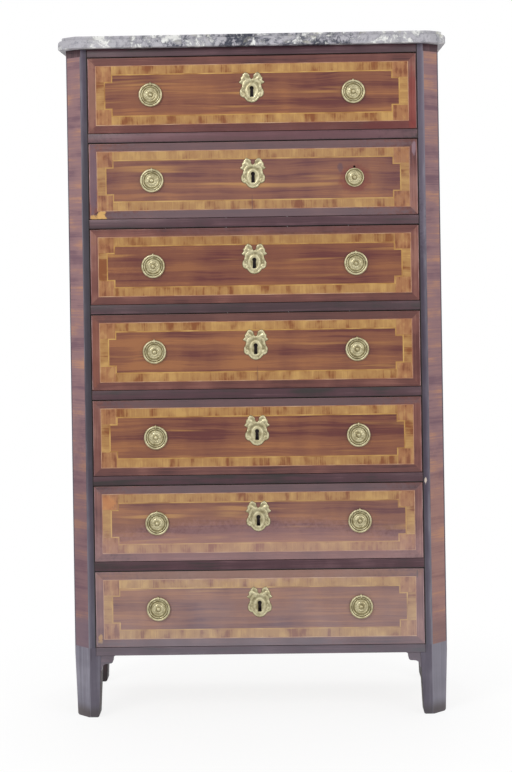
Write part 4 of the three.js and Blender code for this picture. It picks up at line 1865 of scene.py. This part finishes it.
@dataclass
class RingHandle(DrawerPart):
    """A turned boss with chased drops and beads, an eye above it and the ring that hangs from it."""

    side: int
    spacing: float = 223 * MM
    middle: float = 84.1 * MM
    pivot: float = 107.7 * MM
    standoff: float = 3.4 * MM
    sink: float = 0.3 * MM
    ring_radius: float = 23.6 * MM
    wire: float = 2.4 * MM
    wire_steps: int = 14
    eye_inner: float = 3.0 * MM
    eye_outer: float = 4.8 * MM
    eye_ease: float = 0.4 * MM
    eye_shoulder: float = 4.3 * MM
    eye_width: float = 3.0 * MM
    boss_steps: int = 48
    eye_steps: int = 28
    ring_steps: int = 64

    PROFILE = ((20.6, 0.0), (20.6, 2.1), (20.4, 2.9), (19.7, 3.4), (18.9, 3.3), (18.3, 2.7), (17.9, 1.6),
               (17.4, 0.9), (16.5, 0.8), (15.9, 1.3), (15.4, 2.2), (14.6, 2.8), (13.6, 2.9), (12.6, 2.6),
               (11.9, 2.4), (11.1, 2.6), (10.1, 3.3), (8.7, 3.8), (7.3, 3.9), (6.3, 3.5), (5.7, 3.4),
               (5.1, 4.1), (4.5, 5.4), (3.6, 6.8), (2.5, 7.8), (1.3, 8.3), (0.0, 8.5))
    SIZES = ("Ring radius", "Height", "Length", "Width", "Rise")
    DROPS = (11, 9.2, 3.7, 2.4, 1.5, 1.1)
    BEADS = (28, 13.8, 2.6, 1.2, 1.1, 0.9)

    def set_brass(self, mesh: bpy.types.Mesh, place: Place, axis: str, name: str,
                  body: str = "", stands_for: Sequence[str] = (), smooth: float = 50.0) -> None:
        """Turns a mesh's +Z to the front or to the side, and sets it on the drawer.

        Args:
            mesh: The turned mesh.
            place: Its height above the opening's bottom, and its depth.
            axis: The axis that it is turned about.
            name: The piece's name, without side and number.
            body: The body that it rides on, or nothing for the drawer's.
            stands_for: The CAD nodes that it replaces.
            smooth: The sharpest angle in degrees that is shaded smooth.
        """
        height, depth = place
        spot = self.at(self.side * self.spacing, depth, height)
        mesh.transform(Matrix.Translation(spot) @ Matrix.Rotation(math.pi / 2, 4, axis))
        if not mesh.materials:
            mesh.materials.append(self.shop.materials[Palette.BRASS])
        name = f"{SIDES[self.side]}_{name}_{self.number}"
        self.shop.set_in(mesh, name, body or self.body, "ormolu", stands_for, smooth)

    def build_boss(self) -> None:
        """Turns the boss and sets its chasing."""
        profile = [(radius * MM, height * MM) for radius, height in self.PROFILE]
        mesh = turned("boss", profile, self.boss_steps)
        runs = []
        for count, *sizes in (self.DROPS, self.BEADS):
            lengths = {name: size * MM for name, size in zip(self.SIZES, sizes)}
            runs.append({"Count": count, **lengths, "Material": self.shop.materials[Palette.BRASS]})
        self.set_brass(self.shop.rosettes.grow(mesh, *runs), (self.middle, -self.sink), "X", "boss")

    def build_eye(self) -> None:
        """Turns the eye about the ring's hinge."""
        half, inner, outer = self.eye_width / 2, self.eye_inner, self.eye_outer
        section = [(inner, -half * 0.5), (inner + self.eye_ease, -half), (self.eye_shoulder, -half),
                   (outer, -half * 0.5), (outer, half * 0.5), (self.eye_shoulder, half),
                   (inner + self.eye_ease, half), (inner, half * 0.5)]
        mesh = turned("eye", section, self.eye_steps, closed=True)
        self.set_brass(mesh, (self.pivot, -self.standoff), "Y", "eye")

    def build_ring(self) -> None:
        """Bends the ring's wire."""
        turns = [math.tau * step / self.wire_steps for step in range(self.wire_steps)]
        section = [(self.ring_radius + self.wire * math.cos(a), self.wire * math.sin(a)) for a in turns]
        mesh = turned("ring", section, self.ring_steps, closed=True)
        name = SIDES[self.side]
        self.set_brass(mesh, (self.pivot - self.ring_radius, -self.standoff), "X", "bent_ring",
                       f"{name}_ring_{self.number}", [f"{name}_ring_handle_{self.number}"], smooth=60)

    def build(self) -> None:
        """Builds the handle, or only its boss where the ring is lost."""
        self.build_boss()
        if (self.number, self.side) != MISSING_RING:
            self.build_eye()
            self.build_ring()


@dataclass
class KeyholePlate(DrawerPart):
    """A cast plate with a ribbon bow above an oval rim round the keyhole, drawn in millimetres.

    Attributes:
        sizes: The sizes of the drawer's front.
        sink: How deep the plate's back lies in the wood.
        edge: Its thickness at the edge.
        tallest: Its greatest height.
        base: Height of its plain ground.
        slope: Width of the ground's sloping edge.
        rim: Half the width and height of the oval rim.
        ribbon: Half the width of the bow's ribbon and of the leaves below it.
        grid: Spacing of the relief's points.
        clear: How far they keep from the outline.
        on_edge: Within this distance a point counts as lying on the outline.
        ridge: Height of the ribbon and the leaves.
        reeding: How close the fine reeds on them lie.
        nail: Radius and height of a nail's head.
        nail_depth: Where the nails' heads sit, before the front's face.
    """

    sizes: FrontSizes = FrontSizes()
    sink: float = 0.3 * MM
    edge: float = 0.5 * MM
    tallest: float = 2.9
    base: float = 1.1
    slope: float = 1.3
    rim: Point = (11.0, 15.5)
    ribbon: Point = (2.6, 2.1)
    grid: float = 1.5
    clear: float = 0.6
    on_edge: float = 0.05
    ridge: float = 1.25
    reeding: float = 3.2
    nail: Point = (1.3 * MM, 0.8 * MM)
    nail_depth: float = -1.7 * MM

    OUTLINE = ((0.0, 27.5), (3.6, 30.5), (4.4, 36.0), (8.5, 40.5), (14.3, 42.4), (18.9, 38.6),
               (21.2, 34.0), (24.2, 30.2), (24.0, 25.0), (28.3, 20.4), (24.4, 17.2), (21.2, 14.7),
               (22.8, 9.0), (25.6, 3.2), (26.6, -2.6), (25.2, -8.8), (21.4, -12.6), (16.8, -13.8),
               (14.0, -17.2), (8.8, -22.2), (0.0, -24.8))
    BOW = (((1.0, 26.5), (3.0, 33.0), (8.0, 38.0), (14.5, 39.0), (17.5, 34.0), (15.0, 29.0), (9.0, 26.5),
            (3.0, 25.0)),
           ((14.0, 30.0), (20.0, 29.5), (21.0, 25.0), (25.5, 20.6)),
           ((8.0, 23.5), (15.0, 21.0), (18.0, 15.0), (20.0, 8.0)),
           ((20.5, 9.5), (23.6, 3.0), (24.0, -3.0), (22.0, -9.0), (17.6, -10.5), (15.6, -7.0), (18.4, -4.4)),
           ((14.0, -13.5), (9.0, -19.5), (0.0, -22.0)))
    MOULDINGS = ((1.0, 1.2, 0.16), (0.66, 0.25, 0.09))
    RIBBONS = 3
    SPAN = 4
    ROWS = range(-17, 30)
    COLUMNS = range(-20, 21)
    NAILS = ((-17.4, 3.0), (17.4, 3.0), (0.0, -19.2))

    @cached_property
    def ridges(self) -> list[list[Vector]]:
        """The middle lines of the bow's ribbon and the leaves."""
        return [[Vector(point) for point in smooth_line(line, self.SPAN)] for line in self.BOW]

    @cached_property
    def outline(self) -> list[Point]:
        """The plate's closed outline."""
        right = smooth_line(self.OUTLINE, self.SPAN)
        return right + [(-x, z) for x, z in reversed(right[1:-1])]

    @cached_property
    def hole(self) -> list[Point]:
        """The keyhole's outline about its own middle."""
        return [(x / MM, (z - self.sizes.keyhole_middle) / MM) for x, z in self.sizes.keyhole()]

    def covers(self, point: Vector) -> bool:
        """Whether there is metal at a point."""
        return within(point, self.outline) and not within(point, self.hole)

    @cached_property
    def edges(self) -> list[tuple[Vector, Vector]]:
        """The ends of each straight piece of the outline."""
        corners = [Vector(point) for point in self.outline]
        return list(zip(corners, corners[1:] + corners[:1]))

    def from_edge(self, point: Vector) -> float:
        """How far a point is from the outline."""
        return min(closest_on(point, start, end) for start, end in self.edges)

    def relief(self, point: Vector) -> float:
        """Works out the plate's height over the wood.

        Args:
            point: The point.

        Returns:
            The height in metres.
        """
        from_edge = self.from_edge(point)
        if from_edge < self.on_edge:
            return self.edge
        place = Vector((abs(point.x), point.y))
        height = self.base * min(1.0, from_edge / self.slope) ** 0.5
        oval = math.hypot(place.x / self.rim[0], place.y / self.rim[1])
        for share, rise, width in self.MOULDINGS:
            height += rise * math.exp(-((oval - share) / width) ** 2)
        for number, line in enumerate(self.ridges):
            reach = min(closest_on(place, start, end) for start, end in zip(line, line[1:]))
            width = self.ribbon[0] if number < self.RIBBONS else self.ribbon[1]
            reeds = 0.75 + 0.25 * math.cos(reach * self.reeding)
            height += self.ridge * max(0.0, 1 - (reach / width) ** 2) ** 0.6 * reeds
        return max(self.edge, min(height, self.tallest) * MM)

    def plan(self) -> tuple[list[Vector], list[list[int]]]:
        """Covers the plate with triangles that keep to its outline and the keyhole's.

        Returns:
            The points and the triangles.
        """
        points = [Vector(point) for point in (*self.outline, *self.hole)]
        for row in self.ROWS:
            for column in self.COLUMNS:
                point = Vector((column * self.grid + (row % 2) * self.grid / 2, row * self.grid))
                if self.covers(point) and self.from_edge(point) >= self.clear:
                    points.append(point)
        first, count = len(self.outline), len(self.hole)
        loops = [(i, (i + 1) % first) for i in range(first)]
        loops += [(first + i, first + (i + 1) % count) for i in range(count)]
        flat, _, faces, *_ = geometry.delaunay_2d_cdt(points, loops, [], 0, 1e-4)
        middles = [sum((flat[i] for i in face), Vector((0, 0))) / len(face) for face in faces]
        return flat, [face for face, middle in zip(faces, middles) if self.covers(middle)]

    def spot(self, point: Vector, rise: float) -> Vector:
        """The place of a point of the plate, this high above its back."""
        return self.at(point.x * MM, -self.sink - rise, self.sizes.keyhole_place + point.y * MM)

    def build(self) -> None:
        """Builds the plate as a closed relief, with its nails."""
        flat, triangles = self.plan()
        mesh = bmesh.new()
        front = [mesh.verts.new(self.spot(point, self.relief(point))) for point in flat]
        back = [mesh.verts.new(self.spot(point, 0.0)) for point in flat]
        sides: dict[tuple[int, int], None] = {}
        for face in triangles:
            mesh.faces.new([front[i] for i in face])
            mesh.faces.new([back[i] for i in reversed(face)])
            sides.update(dict.fromkeys(zip(face, face[1:] + face[:1])))
        for a, b in sides:
            if (b, a) not in sides:
                mesh.faces.new([front[b], front[a], back[a], back[b]])
        grain = mesh.loops.layers.uv.new(GRAIN)
        for loop in (loop for face in mesh.faces for loop in face.loops):
            loop[grain].uv = ((self.origin.y - self.sink - loop.vert.co.y) / (self.tallest * MM), 0.0)
        bmesh.ops.delete(mesh, geom=[vert for vert in mesh.verts if not vert.link_faces], context="VERTS")
        made = finished(mesh, "plate", self.shop.materials[Palette.PLATE])
        node = f"escutcheon_{self.number}"
        self.shop.set_in(made, f"keyhole_plate_{self.number}", self.body, "ormolu", [node], smooth=55)
        places = [self.at(x * MM, self.nail_depth, self.sizes.keyhole_place + z * MM) for x, z in self.NAILS]
        name = f"plate_nails_{self.number}"
        self.shop.set_studs(places, self.nail, Palette.BRASS, name, self.body, "ormolu")


@dataclass
class Lock(DrawerPart):
    """The lock behind a front: its plate, four screws and the bolt in the top edge."""

    half: float = 32 * MM
    low: float = 69.2 * MM
    neck: float = 142.2 * MM
    high: float = 167.2 * MM
    front: float = 22 * MM
    back: float = 34 * MM
    slot_half: float = 15.5 * MM
    slot_front: float = 24.5 * MM
    slot_back: float = 31.5 * MM
    case_ease: float = 1.0 * MM
    cheek_ease: float = 0.8 * MM
    wall_ease: float = 0.4 * MM
    bolt_ease: float = 0.5 * MM
    screw: Point = (3.4 * MM, 1.3 * MM)

    SCREWS = ((-26, 76), (-26, 160), (26, 76), (26, 160))

    def build(self) -> None:
        """Builds the case with the bolt's channel, its screws and the bolt."""
        shell = Shell(f"lock_case_{self.number}")
        blocks = [(-self.half, self.half, self.front, self.back, self.low, self.neck, self.case_ease)]
        for side in SIDES:
            left, right = sorted((side * self.half, side * self.slot_half))
            blocks.append((left, right, self.front, self.back, self.neck, self.high, self.cheek_ease))
        for near, far in ((self.front, self.slot_front), (self.slot_back, self.back)):
            blocks.append((-self.slot_half, self.slot_half, near, far, self.neck, self.high, self.wall_ease))
        for left, right, near, far, foot, head, ease in blocks:
            shell.block(self.at(left, near, foot), self.at(right, far, head), ease)
        shell.dress(all_over(Palette.IRON, UPWARD))
        self.shop.place(shell, self.body, "steel", smooth=0)
        places = [self.at(x * MM, self.back, z * MM) for x, z in self.SCREWS]
        name = f"lock_screws_{self.number}"
        self.shop.set_studs(places, self.screw, Palette.IRON, name, self.body, "steel")
        node = f"lock_bolt_{self.number}"
        bolt = Shell.from_node(node, f"filed_bolt_{self.number}", self.bolt_ease)
        bolt.dress(all_over(Palette.IRON, RIGHT))
        self.shop.place(bolt, f"bolt_{self.number}", "steel", [node])


@dataclass
class Drawer(Builder):
    """One drawer with all that rides on it."""

    number: int

    def build(self) -> None:
        """Builds the drawer from its front to its lock."""
        origin = Vector((0, CASE.front, CASE.opening_bottom(self.number)))
        known = (self.shop, self.number, origin)
        handles = (RingHandle(*known, side) for side in SIDES)
        for part in (DrawerFront(*known), DrawerBox(*known), *handles, KeyholePlate(*known), Lock(*known)):
            part.build()


# The studio


@dataclass
class Studio:
    """The floor, the lights, the white surround and the camera."""

    lens: float = 83.85
    sensor: float = 36.0
    camera_place: tuple[float, float, float] = (0.0771, -4.1293, 1.05)
    camera_yaw: float = 0.0184
    camera_roll: float = -0.0158
    camera_shift: float = -0.1911
    floor_half: float = 9.0
    floor_share: float = 0.85
    floor_fade: Point = (0.3, 1.0)
    soft_light: float = 0.52

    WHITE = (1.0, 1.0, 1.0, 1.0)
    LIGHTS = {"key": ((-2.4, -3.4, 3.2), (0, 0, 0.8), 2.0, 84),
              "top": ((0.1, 1.9, 2.9), (0, -0.3, 0.3), 1.6, 38),
              "fill": ((2.9, -3.0, 2.2), (0, 0, 0.7), 2.4, 42)}

    def place_camera(self) -> None:
        """Puts the camera where the photograph was taken from."""
        data = bpy.data.cameras.new("camera")
        data.lens = self.lens
        data.sensor_width = self.sensor
        data.shift_y = self.camera_shift
        camera = hang("camera", data)
        turn = (Matrix.Rotation(self.camera_yaw, 4, "Z") @ Matrix.Rotation(math.pi / 2, 4, "X")
                @ Matrix.Rotation(self.camera_roll, 4, "Z"))
        camera.matrix_world = Matrix.Translation(self.camera_place) @ turn
        bpy.context.scene.camera = camera

    def lay_floor(self) -> None:
        """Lays the white floor, which keeps the object's shadow."""
        recipe = Recipe("white_floor")
        tone = recipe.mix(tint(250, 250, 250), self.WHITE, recipe.noise(recipe.place(), 40.0, 3.0))
        recipe.feed({"Base Color": tone, "Roughness": 0.9, "Specular IOR Level": 0.1})
        white = recipe.wire("ShaderNodeEmission", {}, {"Color": self.WHITE, "Strength": 1.0})
        reach = recipe.wire("ShaderNodeVectorMath", {"operation": "LENGTH"}, {0: recipe.place()}, "Value")
        fade = reach.smooth(*self.floor_fade) * (1.0 - self.floor_share) + self.floor_share
        values = {0: recipe.seen() * fade, 1: recipe.surface.outputs[0], 2: white}
        recipe.put(recipe.output.inputs["Surface"], recipe.wire("ShaderNodeMixShader", {}, values))
        half = self.floor_half
        mesh = bpy.data.meshes.new("floor")
        corners = [(-half, -half, 0), (half, -half, 0), (half, half, 0), (-half, half, 0)]
        mesh.from_pydata(corners, [], [range(4)])
        mesh.materials.append(recipe.material)
        floor = hang("floor", mesh)

    def hang_light(self, name: str, place: Place, target: Place, size: float, watts: float) -> None:
        """Hangs one large soft light.

        Args:
            name: Its name.
            place: Where it hangs.
            target: What it points at.
            size: Its width.
            watts: Its power.
        """
        data = bpy.data.lights.new(name, "AREA")
        data.shape = "DISK"
        data.size = size
        data.energy = watts
        way = Vector(target) - Vector(place)
        turn = way.to_track_quat("-Z", "Y").to_matrix().to_4x4()
        hang(name, data).matrix_world = Matrix.Translation(place) @ turn

    def fill_world(self) -> None:
        """Fills a white surround for the eye and for gloss, and a soft grey light from it."""
        world = bpy.data.worlds.new("surround")
        bpy.context.scene.world = world
        world.use_nodes = True
        nodes = Nodes(world.node_tree)
        soft, white = (nodes.wire("ShaderNodeBackground", {}, {"Color": self.WHITE, "Strength": strength})
                       for strength in (self.soft_light, 1.0))
        blend_shaders = nodes.wire("ShaderNodeMixShader", {}, {0: nodes.seen(), 1: soft, 2: white})
        nodes.node("ShaderNodeOutputWorld", {}, {"Surface": blend_shaders})

    def build(self) -> None:
        """Sets up the studio."""
        bpy.context.scene.view_settings.view_transform = "Standard"
        self.place_camera()
        self.lay_floor()
        self.fill_world()
        for name, light in self.LIGHTS.items():
            self.hang_light(name, *light)


def main() -> None:
    """Builds the studio and the semainier."""
    logging.basicConfig(level=logging.INFO, format="%(name)s: %(message)s")
    Studio().build()
    shop = Workshop()
    builders = {"marble top": MarbleTop(shop), "posts and feet": Stiles(shop), "case boards": Joinery(shop)}
    builders.update({f"drawer {number}": Drawer(shop, number) for number in range(1, DRAWERS + 1)})
    for name, builder in builders.items():
        before = shop.made
        builder.build()
        LOG.info("%s: %d pieces", name, shop.made - before)


if __name__ == "__main__":
    main()
